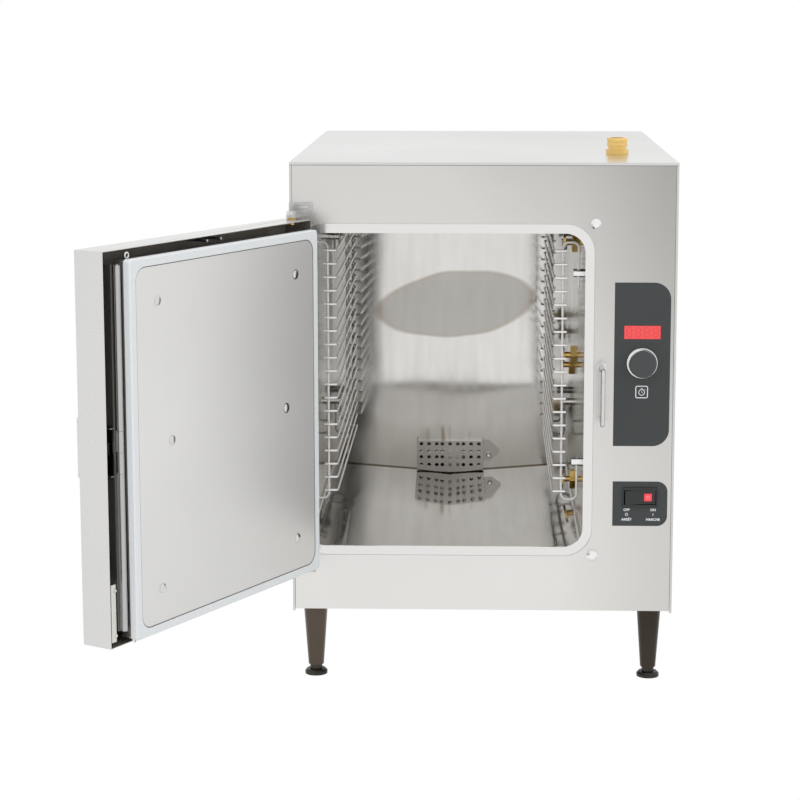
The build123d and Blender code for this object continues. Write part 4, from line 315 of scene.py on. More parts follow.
def painted_reflection_and_runs(tree, tone, spot, on_back):
    """The tone with the back wall's marks: a painted reflection, an oval with a tan rim, and brown steam
    runs below it.
    """
    # The oval and its tan rim are painted reflection; the runs below it are steam stains.
    drift = add_node(tree, "ShaderNodeTexNoise", Vector=spot, Scale=7.0, Detail=1.0).outputs["Color"]
    waver = add_node(tree, "ShaderNodeVectorMath", {"operation": "MULTIPLY_ADD"},
                     i0=drift, i1=(REFLECTION_OVAL_WAVER, 0.0, REFLECTION_OVAL_WAVER), i2=spot)
    middle = (REFLECTION_OVAL_SPOT[0] + REFLECTION_OVAL_WAVER / 2, 0, REFLECTION_OVAL_SPOT[2] + REFLECTION_OVAL_WAVER / 2)
    reflection_oval = oval(tree, waver.outputs[0], middle, REFLECTION_OVAL_REACH, REFLECTION_OVAL_TILT)
    inside = measured(tree, "MULTIPLY", on_back, falling(tree, reflection_oval, *REFLECTION_OVAL_EDGE))
    rim = measured(tree, "MULTIPLY", inside, rising(tree, reflection_oval, *REFLECTION_OVAL_RIM))
    tone = times_colour(tree, tone, REFLECTION_OVAL_TINT, inside)
    tone = times_colour(tree, tone, REFLECTION_OVAL_RIM_TINT, rim)
    drips = rising(tree, stretched_noise(tree, DRIPS, 3.0), *DRIP_BAND)
    within = falling(tree, oval(tree, spot, RUNS_SPOT, RUNS_REACH), *RUNS_EDGE)
    stained = measured(tree, "MULTIPLY", measured(tree, "MULTIPLY", drips, within), on_back)
    return times_colour(tree, tone, RUNS_TINT, stained)


def tinted_seam(tree, tone, place, on_back):
    """The tone with the brown weld where the back wall meets the V floor."""
    aside = measured(tree, "ABSOLUTE", measured(tree, "SUBTRACT", place["X"], CAVITY_X))
    seam_z = measured(tree, "MULTIPLY_ADD", aside, V_FLOOR_SLOPE, V_FLOOR_Z)
    above = measured(tree, "SUBTRACT", place["Z"], seam_z)
    near = falling(tree, above, SEAM_WIDTH / 2, SEAM_WIDTH)
    return times_colour(tree, tone, SEAM_TINT, measured(tree, "MULTIPLY", on_back, near))


def steamed_mirror():
    """The cavity's polish: light back with steam runs, a painted reflection and a bulge; floor and streaked
    sides painted darker as shade and reflection.
    """
    made, tree = blank_finish("cavity_mirror")
    where = add_node(tree, "ShaderNodeTexCoord")
    spot = where.outputs["Object"]
    facing = add_node(tree, "ShaderNodeSeparateXYZ", i0=where.outputs["Normal"]).outputs
    place = add_node(tree, "ShaderNodeSeparateXYZ", i0=spot).outputs
    on_floor = rising(tree, facing["Z"], *FACING_UP)
    on_side = rising(tree, measured(tree, "ABSOLUTE", facing["X"]), *FACING_ASIDE)
    at_back = measured(tree, "GREATER_THAN", place["Y"], CAVITY_HIGH.y - BACK_ZONE)
    on_back = measured(tree, "MULTIPLY", at_back, falling(tree, facing["Y"], *FACING_FRONT))
    on_flange = measured(tree, "LESS_THAN", place["Y"], CAVITY_LOW.y + FLANGE_ZONE)
    clouds = stretched_noise(tree, POLISH_CLOUDS, 4.0)
    wipes = stretched_noise(tree, WIPES, 3.0)
    tone = tinted(tree, rising(tree, clouds), POLISH_LIGHT, POLISH_DARK)
    tone = times_colour(tree, tone, tinted(tree, wipes, WHITE, WIPE_TINT))
    tone = shaded_floor_and_walls(tree, tone, place, on_floor, on_side)
    tone = painted_reflection_and_runs(tree, tone, spot, on_back)
    tone = tinted_seam(tree, tone, place, on_back)
    tone = tinted(tree, on_flange, tone, FLANGE_TONE)
    rough = measured(tree, "ADD", ranged(tree, clouds, *POLISH_SHINE), ranged(tree, wipes, *WIPE_SHINE))
    rough = measured(tree, "MULTIPLY_ADD", on_floor, V_FLOOR_SHINE, rough)
    off_middle = oval(tree, spot, BULGE_SPOT, (1 / BULGE_ACROSS, THROUGH, 1.0))
    sagging = measured(tree, "MULTIPLY", measured(tree, "POWER", off_middle, 2.0), -BULGE_DEPTH)
    bulge = add_node(tree, "ShaderNodeBump", Height=measured(tree, "MULTIPLY", sagging, on_back),
                     Strength=1.0, Distance=1.0)
    uneven = add_node(tree, "ShaderNodeBump", Height=stretched_noise(tree, WAVES, 1.0),
                      Strength=WAVE_RELIEF, Distance=WAVE_DEPTH, Normal=bulge.outputs[0])
    return coated(made, skin(tree, Metallic=POLISH_METAL, Roughness=rough, Base_Color=tone,
                             Normal=uneven.outputs[0]))


TURNING_MARKS = (90, 90, 90)


def turned_steel(name, light, dark, shine, metallic=1.0):
    """Turned or drawn stainless: bright, with faint marks."""
    made, tree = blank_finish(name)
    marks = stretched_noise(tree, TURNING_MARKS, 3.0)
    return coated(made, skin(tree, Metallic=metallic, Roughness=ranged(tree, marks, *shine),
                             Base_Color=tinted(tree, marks, light, dark)))


dress(steamed_mirror(), "cavity_shell", edge=0.0005)
bright_steel = turned_steel("bright_steel", (0.90, 0.90, 0.89), (0.80, 0.80, 0.79), (0.12, 0.24))
dress(bright_steel, "rack_studs", edge=0.0003)

# ---- Pan racks: bent wire on both walls ----
# Stainless wire of 3.5 mm; nineteen hairpin rungs welded across three uprights.
# The outer uprights end in hooks that hang in the studs.
WIRE_R = 0.00175
WIRE_SIDES = 14
BEND_STEPS = 6
WELD_SINK = 0.0004
WIRE_STEP = 2 * WIRE_R - WELD_SINK
RUNGS = 19
RUNG_PITCH = 0.0196
RUNG_TAIL = 0.0240
RUNG_REACH = 0.0428
FIRST_RUNG_RISE = 0.0125
CORNER_R = 0.0035
UPRIGHT_SETBACK = 0.013
MIDDLE_UPRIGHT_BACK = 0.281
HOOK_REACH = 0.0072
HOOK_TOP_DROP = 0.0655
HOOK_BOTTOM_RISE = 0.062
BEND_R = 0.009
wire_steel = turned_steel("wire_steel", (0.93, 0.925, 0.92), (0.84, 0.835, 0.83), (0.14, 0.24), 0.55)


def finish_copies(tree, entry, places, shape, **turning):
    """End a node group: the shape on every place, made real and given the group's finish."""
    copies = add_node(tree, "GeometryNodeInstanceOnPoints", Points=places, Instance=shape, **turning)
    real = add_node(tree, "GeometryNodeRealizeInstances", Geometry=copies.outputs[0])
    finished = add_node(tree, "GeometryNodeSetMaterial", Geometry=real.outputs[0],
                        Material=entry.outputs["Finish"])
    add_node(tree, "NodeGroupOutput", i0=finished.outputs[0])


def bent_wire():
    """A node group that rounds a path's corners, gives it a wire's thickness and repeats it upwards."""
    tree = bpy.data.node_groups.new("bent_wire", "GeometryNodeTree")
    group_socket(tree, "Path", "NodeSocketGeometry")
    group_socket(tree, "Corner radius", "NodeSocketFloat")
    group_socket(tree, "Wire radius", "NodeSocketFloat")
    group_socket(tree, "Count", "NodeSocketInt")
    group_socket(tree, "Pitch", "NodeSocketFloat")
    group_socket(tree, "Finish", "NodeSocketMaterial")
    group_socket(tree, "Wires", "NodeSocketGeometry", "OUTPUT")
    entry = add_node(tree, "NodeGroupInput")
    path = add_node(tree, "GeometryNodeMeshToCurve", Mesh=entry.outputs["Path"])
    rounded = add_node(tree, "GeometryNodeFilletCurve", {"mode": "POLY"}, Curve=path.outputs[0],
                       Radius=entry.outputs["Corner radius"], Count=BEND_STEPS, Limit_Radius=True)
    section = add_node(tree, "GeometryNodeCurvePrimitiveCircle", Resolution=WIRE_SIDES,
                       Radius=entry.outputs["Wire radius"])
    wire = add_node(tree, "GeometryNodeCurveToMesh", Curve=rounded.outputs[0],
                    Profile_Curve=section.outputs[0], Fill_Caps=True)
    smooth = add_node(tree, "GeometryNodeSetShadeSmooth", i0=wire.outputs[0])
    step = add_node(tree, "ShaderNodeCombineXYZ", Z=entry.outputs["Pitch"])
    rows = add_node(tree, "GeometryNodeMeshLine", Count=entry.outputs["Count"], Offset=step.outputs[0])
    finish_copies(tree, entry, rows.outputs[0], smooth.outputs[0])
    return tree


def placed(name, data):
    """An object with this data, put in the scene."""
    made = bpy.data.objects.new(name, data)
    bpy.context.collection.objects.link(made)
    return made


def path_object(name, paths):
    """A mesh of bare edges along lists of points."""
    shape = bpy.data.meshes.new(name)
    points = [point for path in paths for point in path]
    edges = []
    start = 0
    for path in paths:
        edges += [(start + i, start + i + 1) for i in range(len(path) - 1)]
        start += len(path)
    shape.from_pydata(points, edges, [])
    return placed(name, shape)


def baked(piece):
    """Turn a piece's modifiers into plain mesh."""
    bpy.context.view_layer.update()
    graph = bpy.context.evaluated_depsgraph_get()
    solid = bpy.data.meshes.new_from_object(piece.evaluated_get(graph), preserve_all_data_layers=True,
                                            depsgraph=graph)
    piece.modifiers.clear()
    piece.data = solid
    return piece


def joined(name, pieces):
    """Join plain-mesh pieces into one."""
    whole = bmesh.new()
    for piece in pieces:
        whole.from_mesh(piece.data)
    shape = bpy.data.meshes.new(name)
    whole.to_mesh(shape)
    whole.free()
    for finish in pieces[0].data.materials:
        shape.materials.append(finish)
    for piece in pieces:
        bpy.data.objects.remove(piece)
    return placed(name, shape)


wire_tree = bent_wire()
for node, inward in (("left_rack", 1), ("right_rack", -1)):
    rack_low, rack_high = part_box(node)
    wall = (rack_low.x if inward > 0 else rack_high.x) - inward * (HOOK_REACH - WIRE_R)
    rung_x = wall + inward * RUNG_REACH
    tail_x = wall + inward * RUNG_TAIL
    hook_x = wall + inward * HOOK_REACH
    outer_x = rung_x - inward * UPRIGHT_SETBACK
    middle_x = rung_x - inward * WIRE_STEP
    front_y, rear_y = rack_low.y + WIRE_R, rack_high.y - WIRE_R
    middle_y = front_y + WIRE_STEP + MIDDLE_UPRIGHT_BACK
    foot, top = rack_low.z + WIRE_R, rack_high.z - WIRE_R
    first = foot + FIRST_RUNG_RISE
    rung_path = [(tail_x, front_y, first), (rung_x, front_y, first),
                 (rung_x, rear_y, first), (tail_x, rear_y, first)]
    hook_paths = [
        [(hook_x, y, top - HOOK_TOP_DROP), (hook_x, y, top), (outer_x, y, top),
         (outer_x, y, foot), (hook_x, y, foot), (hook_x, y, foot + HOOK_BOTTOM_RISE)]
        for y in (front_y + WIRE_STEP, rear_y - WIRE_STEP)
    ]
    middle_path = [(middle_x, middle_y, foot + BEND_R), (middle_x, middle_y, top - BEND_R)]
    rungs = path_object(node + "_rungs", [rung_path])
    run_tree(rungs, wire_tree, Corner_radius=CORNER_R, Wire_radius=WIRE_R, Count=RUNGS, Pitch=RUNG_PITCH,
             Finish=wire_steel)
    hooks = path_object(node + "_hooks", hook_paths + [middle_path])
    run_tree(hooks, wire_tree, Corner_radius=BEND_R, Wire_radius=WIRE_R, Count=1, Pitch=0.0,
             Finish=wire_steel)
    rack = joined(node + "_wires", [baked(rungs), baked(hooks)])
    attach(rack, node)
    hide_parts(node)

# ---- Steam jets, generator, plenum, drain and lagging ----
# Brass jets screwed through the cavity's wall; behind it a steel tank with its elements and the plenum.
# A perforated sheet cover hangs on its stud over the drain hole, and mineral wool lags the cavity.
BRASS_METAL = 0.85
TARNISH = (40, 40, 40)
RINGS = (30, 30, 1500)
RING_RELIEF = 0.3
RING_DEPTH = 0.00003
SCREEN_WIPES = (60, 12, 20)
SCREEN_WIPE_SHINE = (-0.02, 0.03)
SCREEN_WAVES = (7, 5, 6)
SCREEN_WAVE_DEPTH = 0.01
DULL_RELIEF = 0.5


def turned_brass(name, light, dark, shine):
    """Turned brass with fine rings and a little tarnish."""
    made, tree = blank_finish(name)
    tarnish = stretched_noise(tree, TARNISH, 4.0)
    rings = stretched_noise(tree, RINGS, 1.0)
    scored = add_node(tree, "ShaderNodeBump", Height=rings, Strength=RING_RELIEF, Distance=RING_DEPTH)
    return coated(made, skin(tree, Metallic=BRASS_METAL, Roughness=ranged(tree, tarnish, *shine),
                             Base_Color=tinted(tree, rising(tree, tarnish), light, dark),
                             Normal=scored.outputs[0]))


def polished_steel(name, light, dark, shine):
    """Polished stainless with soft waves and faint wipe marks."""
    made, tree = blank_finish(name)
    clouds = stretched_noise(tree, POLISH_CLOUDS, 4.0)
    wipes = stretched_noise(tree, SCREEN_WIPES, 3.0)
    uneven = add_node(tree, "ShaderNodeBump", Height=stretched_noise(tree, SCREEN_WAVES, 1.0),
                      Strength=WAVE_RELIEF, Distance=SCREEN_WAVE_DEPTH)
    rough = measured(tree, "ADD", ranged(tree, clouds, *shine), ranged(tree, wipes, *SCREEN_WIPE_SHINE))
    return coated(made, skin(tree, Metallic=1.0, Roughness=rough, Normal=uneven.outputs[0],
                             Base_Color=tinted(tree, rising(tree, clouds), light, dark)))


def dull_finish(name, light, dark, shine, grain_scale, depth, metallic=0.0):
    """A moulded, woven or painted surface: two shades, a roughness range and a fine relief."""
    made, tree = blank_finish(name)
    patches = stretched_noise(tree, (grain_scale,) * 3, 5.0)
    relief = add_node(tree, "ShaderNodeBump", Height=patches, Strength=DULL_RELIEF, Distance=depth)
    return coated(made, skin(tree, Metallic=metallic, Roughness=ranged(tree, patches, *shine),
                             Base_Color=tinted(tree, rising(tree, patches), light, dark),
                             Normal=relief.outputs[0]))


brass = turned_brass("turned_brass", (0.93, 0.66, 0.24), (0.74, 0.48, 0.15), (0.14, 0.28))
worn_steel = turned_steel("worn_steel", (0.30, 0.29, 0.275), (0.20, 0.19, 0.18), (0.30, 0.45))
screen_steel = polished_steel("screen_steel", (0.46, 0.44, 0.415), (0.36, 0.345, 0.325), (0.14, 0.24))
lagging_wool = dull_finish("lagging_wool", (0.72, 0.69, 0.60), (0.58, 0.55, 0.46), (0.8, 0.95), 220, 0.001)
dress(brass, "steam_jets", "level_probe", edge=0.0005)
dress(plain_sheet, "steam_generator", "steam_plenum")
dress(worn_steel, "heating_elements", "drain_pipe", edge=0)
dress(screen_steel, "drain_screen")
dress(bright_steel, "drain_screen_stud")
dress(lagging_wool, "insulation", edge=0)

# ---- Front fittings: strike, dome studs and hinge brackets ----
# The strike is drawn rod bent between two turned bosses, and the dome studs are round-headed fixings.
# The hinge brackets are bent from 4 mm plate; the door's pins stand in their rounded ends.
rod_steel = turned_steel("rod_steel", (0.74, 0.735, 0.725), (0.60, 0.595, 0.585), (0.14, 0.24))
bracket_steel = turned_steel("bracket_steel", (0.60, 0.60, 0.59), (0.46, 0.46, 0.45), (0.16, 0.30))
dress(rod_steel, "door_strike", "hinge_pins", edge=0.0006)
dress(bright_steel, "dome_studs", edge=0.0006)
dress(bracket_steel, "upper_hinge_bracket", "lower_hinge_bracket")

# ---- Controls: overlays, display, knob, rocker and the board behind ----
# Printed polycarbonate overlays stuck on the front sheet, a red display window and moulded black controls.
# Behind the sheet stand the board with its encoder, the contactor, the terminals and the transformer.
KNOB_LOW, KNOB_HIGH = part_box("knob")
KNOB_MIDDLE = (KNOB_LOW + KNOB_HIGH) / 2
KNOB_MARKS = (400, 400, 400)
KNOB_TONE, KNOB_PALE = (0.036, 0.041, 0.043), (0.044, 0.049, 0.051)
KNOB_SHINE = (0.30, 0.36)
TRIM_R = 0.0202
TRIM_HIGHLIGHT_SHIFT = 0.0007
TRIM_EDGE = (0.995, 1.005)
TRIM_TONE = (0.86, 0.86, 0.85, 1)
TRIM_SHINE = (0.20, 0.26)
LIT_HAZE = (300, 300, 300)
LIT_HAZE_SHARE = 0.92
LIT_ROUGHNESS = 0.35


def mixed(tree, share, first, second):
    """Two surface shaders mixed by a share of the second."""
    return add_node(tree, "ShaderNodeMixShader", i0=share, i1=first, i2=second).outputs[0]


def trimmed_knob():
    """The knob's plastic with a chromed edge, its band set off to the upper left as a painted highlight so
    it is widest there.
    """
    made, tree = blank_finish("trimmed_knob")
    spot = add_node(tree, "ShaderNodeTexCoord").outputs["Object"]
    # The chrome band's middle is set off to the upper left: the offset is a painted highlight.
    middle = (KNOB_MIDDLE.x + TRIM_HIGHLIGHT_SHIFT, 0, KNOB_MIDDLE.z - TRIM_HIGHLIGHT_SHIFT)
    from_middle = oval(tree, spot, middle, (TRIM_R, THROUGH, TRIM_R))
    on_trim = rising(tree, from_middle, *TRIM_EDGE)
    marks = stretched_noise(tree, KNOB_MARKS, 3.0)
    plastic = skin(tree, Roughness=ranged(tree, marks, *KNOB_SHINE),
                   Base_Color=tinted(tree, marks, KNOB_TONE, KNOB_PALE))
    chrome = skin(tree, Metallic=1.0, Roughness=ranged(tree, marks, *TRIM_SHINE), Base_Color=TRIM_TONE)
    return coated(made, mixed(tree, on_trim, plastic, chrome))


def glowing_red(name, colour, glow):
    """Red plastic with a glow: the rocker's lamp is lit, while the glow of the display window and its unlit
    figures is painted light.
    """
    made, tree = blank_finish(name)
    haze = stretched_noise(tree, LIT_HAZE, 2.0)
    hazed = tinted(tree, haze, colour, tuple(share * LIT_HAZE_SHARE for share in colour))
    return coated(made, skin(tree, Roughness=LIT_ROUGHNESS, Base_Color=hazed,
                             Emission_Color=opaque(colour), Emission_Strength=glow))


overlay_film = dull_finish("overlay_film", (0.026, 0.031, 0.032), (0.037, 0.041, 0.041), (0.36, 0.44),
                           700, 0.00002)
gloss_black = dull_finish("gloss_black", (0.012, 0.013, 0.014), (0.016, 0.017, 0.018), (0.12, 0.18),
                          300, 0.00001)
dark_plastic = dull_finish("dark_plastic", (0.03, 0.032, 0.034), (0.045, 0.047, 0.05), (0.4, 0.55),
                           400, 0.00004)
board_laminate = dull_finish("board_laminate", (0.02, 0.10, 0.05), (0.03, 0.13, 0.06), (0.3, 0.4),
                             300, 0.00002)
core_iron = dull_finish("core_iron", (0.09, 0.085, 0.08), (0.13, 0.12, 0.11), (0.5, 0.7), 200, 0.0001, 0.6)
dress(overlay_film, "control_overlay", "switch_overlay", edge=0.0001)
dress(trimmed_knob(), "knob", edge=0.0003)
dress(gloss_black, "rocker", "switch_bezel")
dress(dark_plastic, "contactor", "terminal_block", "encoder")
dress(board_laminate, "control_board")
dress(core_iron, "transformer")
# The display window's glow is painted light; the rocker's lamp below it is lit.
dress(glowing_red("display_red", (0.78, 0.07, 0.072), 0.20), "display_window", edge=0.0001)
dress(glowing_red("lamp_red", (0.80, 0.05, 0.07), 0.25), "rocker_lamp", edge=0.0001)

# ---- Printed marks on the overlays ----
# Pale ink screen-printed on the film: a timer sign below the knob, and the rocker's two positions
# in two languages below the rocker, with a ring for off and a stroke for on between them.
PRINT_DEPTH = 0.00008
CORNER_STEPS = 6
CAP_SHARE = 0.70
LETTER_BOLDNESS = 0.00016
LABEL_CAP = 0.0035
LABEL_ASIDE = 0.0190
LABEL_DROPS = (0.0185, 0.0253, 0.0328)
LABEL_RING_R = 0.0022
LABEL_RING_LINE = 0.0007
TIMER_DROP = 0.0420
TIMER_HALF = 0.0090
TIMER_LINE = 0.0013
TIMER_CORNER_R = 0.0028
TIMER_INNER_CORNER_R = 0.0016
CLOCK_LOWERED = 0.0006
CLOCK_R = 0.0046
CLOCK_LINE = 0.0010
# The clock's button, its side button and its two hands: aside, up, length, width and turn in degrees.
CLOCK_STROKES = (
    (0.0, CLOCK_R + 0.0010, 0.0026, 0.0009, 0),
    (0.0042, 0.0042, 0.0018, 0.0010, -45),
    (0.0, 0.0009, 0.0020, 0.0007, 90),
    (0.0008, 0.0, 0.0016, 0.0007, 0),
)
print_ink = dull_finish("print_ink", (0.78, 0.78, 0.81), (0.72, 0.72, 0.76), (0.45, 0.55), 900, 0.00001)


def rounded_loop(x, z, half_width, half_height, radius):
    """Points of a rounded rectangle round (x, z), or of a circle where radius is the half width."""
    points = []
    for quarter, (side, up) in enumerate(((1, 1), (-1, 1), (-1, -1), (1, -1))):
        for step in range(CORNER_STEPS + 1):
            turn = math.pi / 2 * (quarter + step / CORNER_STEPS)
            points.append((x + side * (half_width - radius) + radius * math.cos(turn),
                           z + up * (half_height - radius) + radius * math.sin(turn)))
    return points


def bar_loop(x, z, length, width, turn):
    """Points of a bar round (x, z), its length turned from level by turn radians."""
    along = Vector((math.cos(turn), math.sin(turn))) * length / 2
    across = Vector((-math.sin(turn), math.cos(turn))) * width / 2
    corners = ((1, 1), (-1, 1), (-1, -1), (1, -1))
    return [tuple(Vector((x, z)) + side * along + up * across) for side, up in corners]


def add_print(whole, outer, face, inner=None):
    """Add a thin flat figure on y = face: a plate, or a band between two loops of as many points."""
    depths = (face - PRINT_DEPTH, face + PRINT_DEPTH)
    rings = [[whole.verts.new((x, y, z)) for x, z in loop]
             for loop in (outer, inner) if loop for y in depths]
    if inner is None:
        whole.faces.new(rings[0])
        whole.faces.new(rings[1][::-1])
        turns = [(0, 1)]
    else:
        turns = [(0, 1), (1, 3), (3, 2), (2, 0)]
    count = len(outer)
    for first, second in turns:
        for i in range(count):
            j = (i + 1) % count
            whole.faces.new((rings[first][i], rings[first][j], rings[second][j], rings[second][i]))


def add_band(whole, x, z, half_width, half_height, radius, line, face):
    """Add a printed band, line wide, just inside a rounded rectangle or a circle."""
    add_print(whole, rounded_loop(x, z, half_width, half_height, radius), face,
              rounded_loop(x, z, half_width - line, half_height - line, radius - line))


def add_words(whole, words, cap_height, x, z, face):
    """Add raised lettering centred on (x, z)."""
    text = bpy.data.curves.new("lettering", "FONT")
    text.body = words
    text.align_x = "CENTER"
    text.align_y = "CENTER"
    text.size = cap_height / CAP_SHARE
    text.offset = LETTER_BOLDNESS
    text.extrude = PRINT_DEPTH
    holder = placed("lettering", text)
    shape = bpy.data.meshes.new_from_object(holder)
    shape.transform(Matrix.Translation((x, face, z)) @ Matrix.Rotation(math.pi / 2, 4, "X"))
    whole.from_mesh(shape)
    bpy.data.objects.remove(holder)


def plain_piece(name, whole, finish):
    """An object with this mesh, its faces turned outwards."""
    bmesh.ops.remove_doubles(whole, verts=whole.verts, dist=1e-7)
    bmesh.ops.recalc_face_normals(whole, faces=whole.faces)
    shape = bpy.data.meshes.new(name)
    whole.to_mesh(shape)
    whole.free()
    shape.materials.append(finish)
    return placed(name, shape)


ink = bmesh.new()
panel_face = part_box("control_overlay")[0].y
timer_x, timer_z = KNOB_MIDDLE.x, KNOB_MIDDLE.z - TIMER_DROP
clock_z = timer_z - CLOCK_LOWERED
inner_half = TIMER_HALF - TIMER_LINE
add_print(ink, rounded_loop(timer_x, timer_z, TIMER_HALF, TIMER_HALF, TIMER_CORNER_R), panel_face,
          rounded_loop(timer_x, timer_z, inner_half, inner_half, TIMER_INNER_CORNER_R))
add_band(ink, timer_x, clock_z, CLOCK_R, CLOCK_R, CLOCK_R, CLOCK_LINE, panel_face)
for aside, up, length, width, turn in CLOCK_STROKES:
    add_print(ink, bar_loop(timer_x + aside, clock_z + up, length, width, math.radians(turn)), panel_face)

bezel_low, bezel_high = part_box("switch_bezel")
switch_middle = (bezel_low + bezel_high) / 2
switch_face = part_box("switch_overlay")[0].y
for side, words in ((-1, ("OFF", "O", "ARR\u00caT")), (1, ("ON", "I", "MARCHE"))):
    label_x = switch_middle.x + side * LABEL_ASIDE
    for word, drop in zip(words, LABEL_DROPS):
        label_z = switch_middle.z - drop
        if word == "O":
            add_band(ink, label_x, label_z, *[LABEL_RING_R] * 3, LABEL_RING_LINE, switch_face)
        else:
            add_words(ink, word, LABEL_CAP, label_x, label_z, switch_face)
panel_marks = plain_piece("panel_marks", ink, print_ink)
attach(panel_marks, "cabinet")

# ---- The display's unlit figures and the rocker's lamp ring ----
# Four figures of seven bars each, unlit, show through the red window.
# A paler red ring is printed on the middle of the rocker's lamp.
DIGITS = 4
DIGIT_PITCH = 0.0125
DIGIT_HALF_W = 0.0035
DIGIT_HALF_H = 0.0065
DIGIT_LINE = 0.0018
LAMP_RING_R = 0.0027
LAMP_RING_LINE = 0.0009
FRONT_FACING = -0.8


def repeated_row():
    """A node group that repeats a shape along a row."""
    tree = bpy.data.node_groups.new("repeated_row", "GeometryNodeTree")
    group_socket(tree, "Shape", "NodeSocketGeometry")
    group_socket(tree, "Count", "NodeSocketInt")
    group_socket(tree, "Step", "NodeSocketVector")
    group_socket(tree, "Finish", "NodeSocketMaterial")
    group_socket(tree, "Row", "NodeSocketGeometry", "OUTPUT")
    entry = add_node(tree, "NodeGroupInput")
    line = add_node(tree, "GeometryNodeMeshLine", Count=entry.outputs["Count"], Offset=entry.outputs["Step"])
    finish_copies(tree, entry, line.outputs[0], entry.outputs["Shape"])
    return tree


def front_of(node):
    """Middle and outward direction of the faces of a node that look to the front."""
    faces = [face for face in nodes[node].data.polygons if face.normal.y < FRONT_FACING]
    area = sum(face.area for face in faces)
    middle = sum((face.center * face.area for face in faces), Vector()) / area
    return middle, sum((face.normal * face.area for face in faces), Vector()).normalized()


row_tree = repeated_row()
window_low, window_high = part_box("display_window")
digit_x = (window_low.x + window_high.x) / 2 - DIGIT_PITCH * (DIGITS - 1) / 2
digit_z = (window_low.z + window_high.z) / 2
level_bar = (2 * DIGIT_HALF_W - DIGIT_LINE, DIGIT_LINE, 0.0)
upright_bar = (DIGIT_HALF_H - DIGIT_LINE, DIGIT_LINE, math.pi / 2)
figure = bmesh.new()
for up in (-1, 0, 1):
    add_print(figure, bar_loop(digit_x, digit_z + up * DIGIT_HALF_H, *level_bar), window_low.y)
for side in (-1, 1):
    for up in (-1, 1):
        bar_x, bar_z = digit_x + side * DIGIT_HALF_W, digit_z + up * DIGIT_HALF_H / 2
        add_print(figure, bar_loop(bar_x, bar_z, *upright_bar), window_low.y)
# The unlit figures glow faintly: painted light.
unlit_red = glowing_red("unlit_red", (0.66, 0.055, 0.058), 0.17)
display_figures = plain_piece("display_figures", figure, unlit_red)
run_tree(display_figures, row_tree, Count=DIGITS, Step=(DIGIT_PITCH, 0.0, 0.0), Finish=unlit_red)
baked(display_figures)
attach(display_figures, "cabinet")

ring = bmesh.new()
add_band(ring, 0, 0, *[LAMP_RING_R] * 3, LAMP_RING_LINE, 0.0)
lamp_middle, lamp_facing = front_of("rocker_lamp")
tip = Vector((0, -1, 0)).rotation_difference(lamp_facing).to_matrix().to_4x4()
bmesh.ops.transform(ring, matrix=Matrix.Translation(lamp_middle) @ tip, verts=ring.verts)
lamp_ring = plain_piece("rocker_lamp_ring", ring, glowing_red("ring_red", (1.0, 0.25, 0.25), 0.35))
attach(lamp_ring, "rocker")

# ---- Legs, feet and the outer fittings ----
# Tapered tubes of browned steel, each bolted up through the base pan, with a screwed foot in it.
# The vent on the lid and the water inlet at the back are turned brass; the cable gland is moulded black.
# The legs are painted darker towards the right: painted shade.
LEG_PAINTED_SHADE = ((RIGHT, 0.05, 0.45, 0.62),)
leg_steel = ground_steel("leg_steel", (0.13, 0.105, 0.082), (0.055, 0.045, 0.036), (0.22, 0.38),
                         (400, 400, 10), LEG_PAINTED_SHADE)
foot_steel = turned_steel("foot_steel", (0.075, 0.068, 0.06), (0.03, 0.028, 0.025), (0.25, 0.4))
dress(leg_steel, "legs")
dress(foot_steel, "foot_front_left", "foot_front_right", "foot_rear_left", "foot_rear_right")
dress(brass, "vent_fitting", edge=0.0003)
dress(brass, "inlet_valve", edge=0.0005)
dress(gloss_black, "cable_gland")

# ---- Door: pan, stiffener, latch and handle ----
# A folded tray of satin sheet, painted dark inside as shade; in it a top-hat stiffener and the post of the
# liner's hinge.
# It turns on brass bushes, and its free edge has the latch, the pull handle and the door switch's magnet.
PAN_LOW, PAN_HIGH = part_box("door_pan")
SATIN_DOOR = ((0.73, 0.725, 0.715), (0.68, 0.675, 0.665), (0.24, 0.32), ACROSS)
INSIDE_SHADE_PATCHES = (30, 30, 30)
INSIDE_SHADE_LIGHT, INSIDE_SHADE_DARK = (0.40, 0.37, 0.33), (0.24, 0.22, 0.195)
INSIDE_SHADE_METAL = 0.6
INSIDE_SHADE_ROUGHNESS = 0.5


def tray_steel():
    """The tray's sheet: satin outside, and inside painted dark as shade, in uneven patches."""
    made, tree = blank_finish("satin_door")
    satin = ground_skin(tree, *SATIN_DOOR)
    where = add_node(tree, "ShaderNodeTexCoord")
    inward = add_node(tree, "ShaderNodeVectorMath", {"operation": "SUBTRACT"},
                      i0=tuple((PAN_LOW + PAN_HIGH) / 2), i1=where.outputs["Object"])
    towards = add_node(tree, "ShaderNodeVectorMath", {"operation": "DOT_PRODUCT"},
                       i0=inward.outputs[0], i1=where.outputs["Normal"])
    inside = measured(tree, "GREATER_THAN", towards.outputs["Value"], 0.0)
    # The inside faces are painted dark: painted shade.
    inside_shade = tinted(tree, stretched_noise(tree, INSIDE_SHADE_PATCHES, 4.0), INSIDE_SHADE_LIGHT, INSIDE_SHADE_DARK)
    dark = skin(tree, Metallic=INSIDE_SHADE_METAL, Roughness=INSIDE_SHADE_ROUGHNESS, Base_Color=inside_shade)
    return coated(made, mixed(tree, inside, satin, dark))


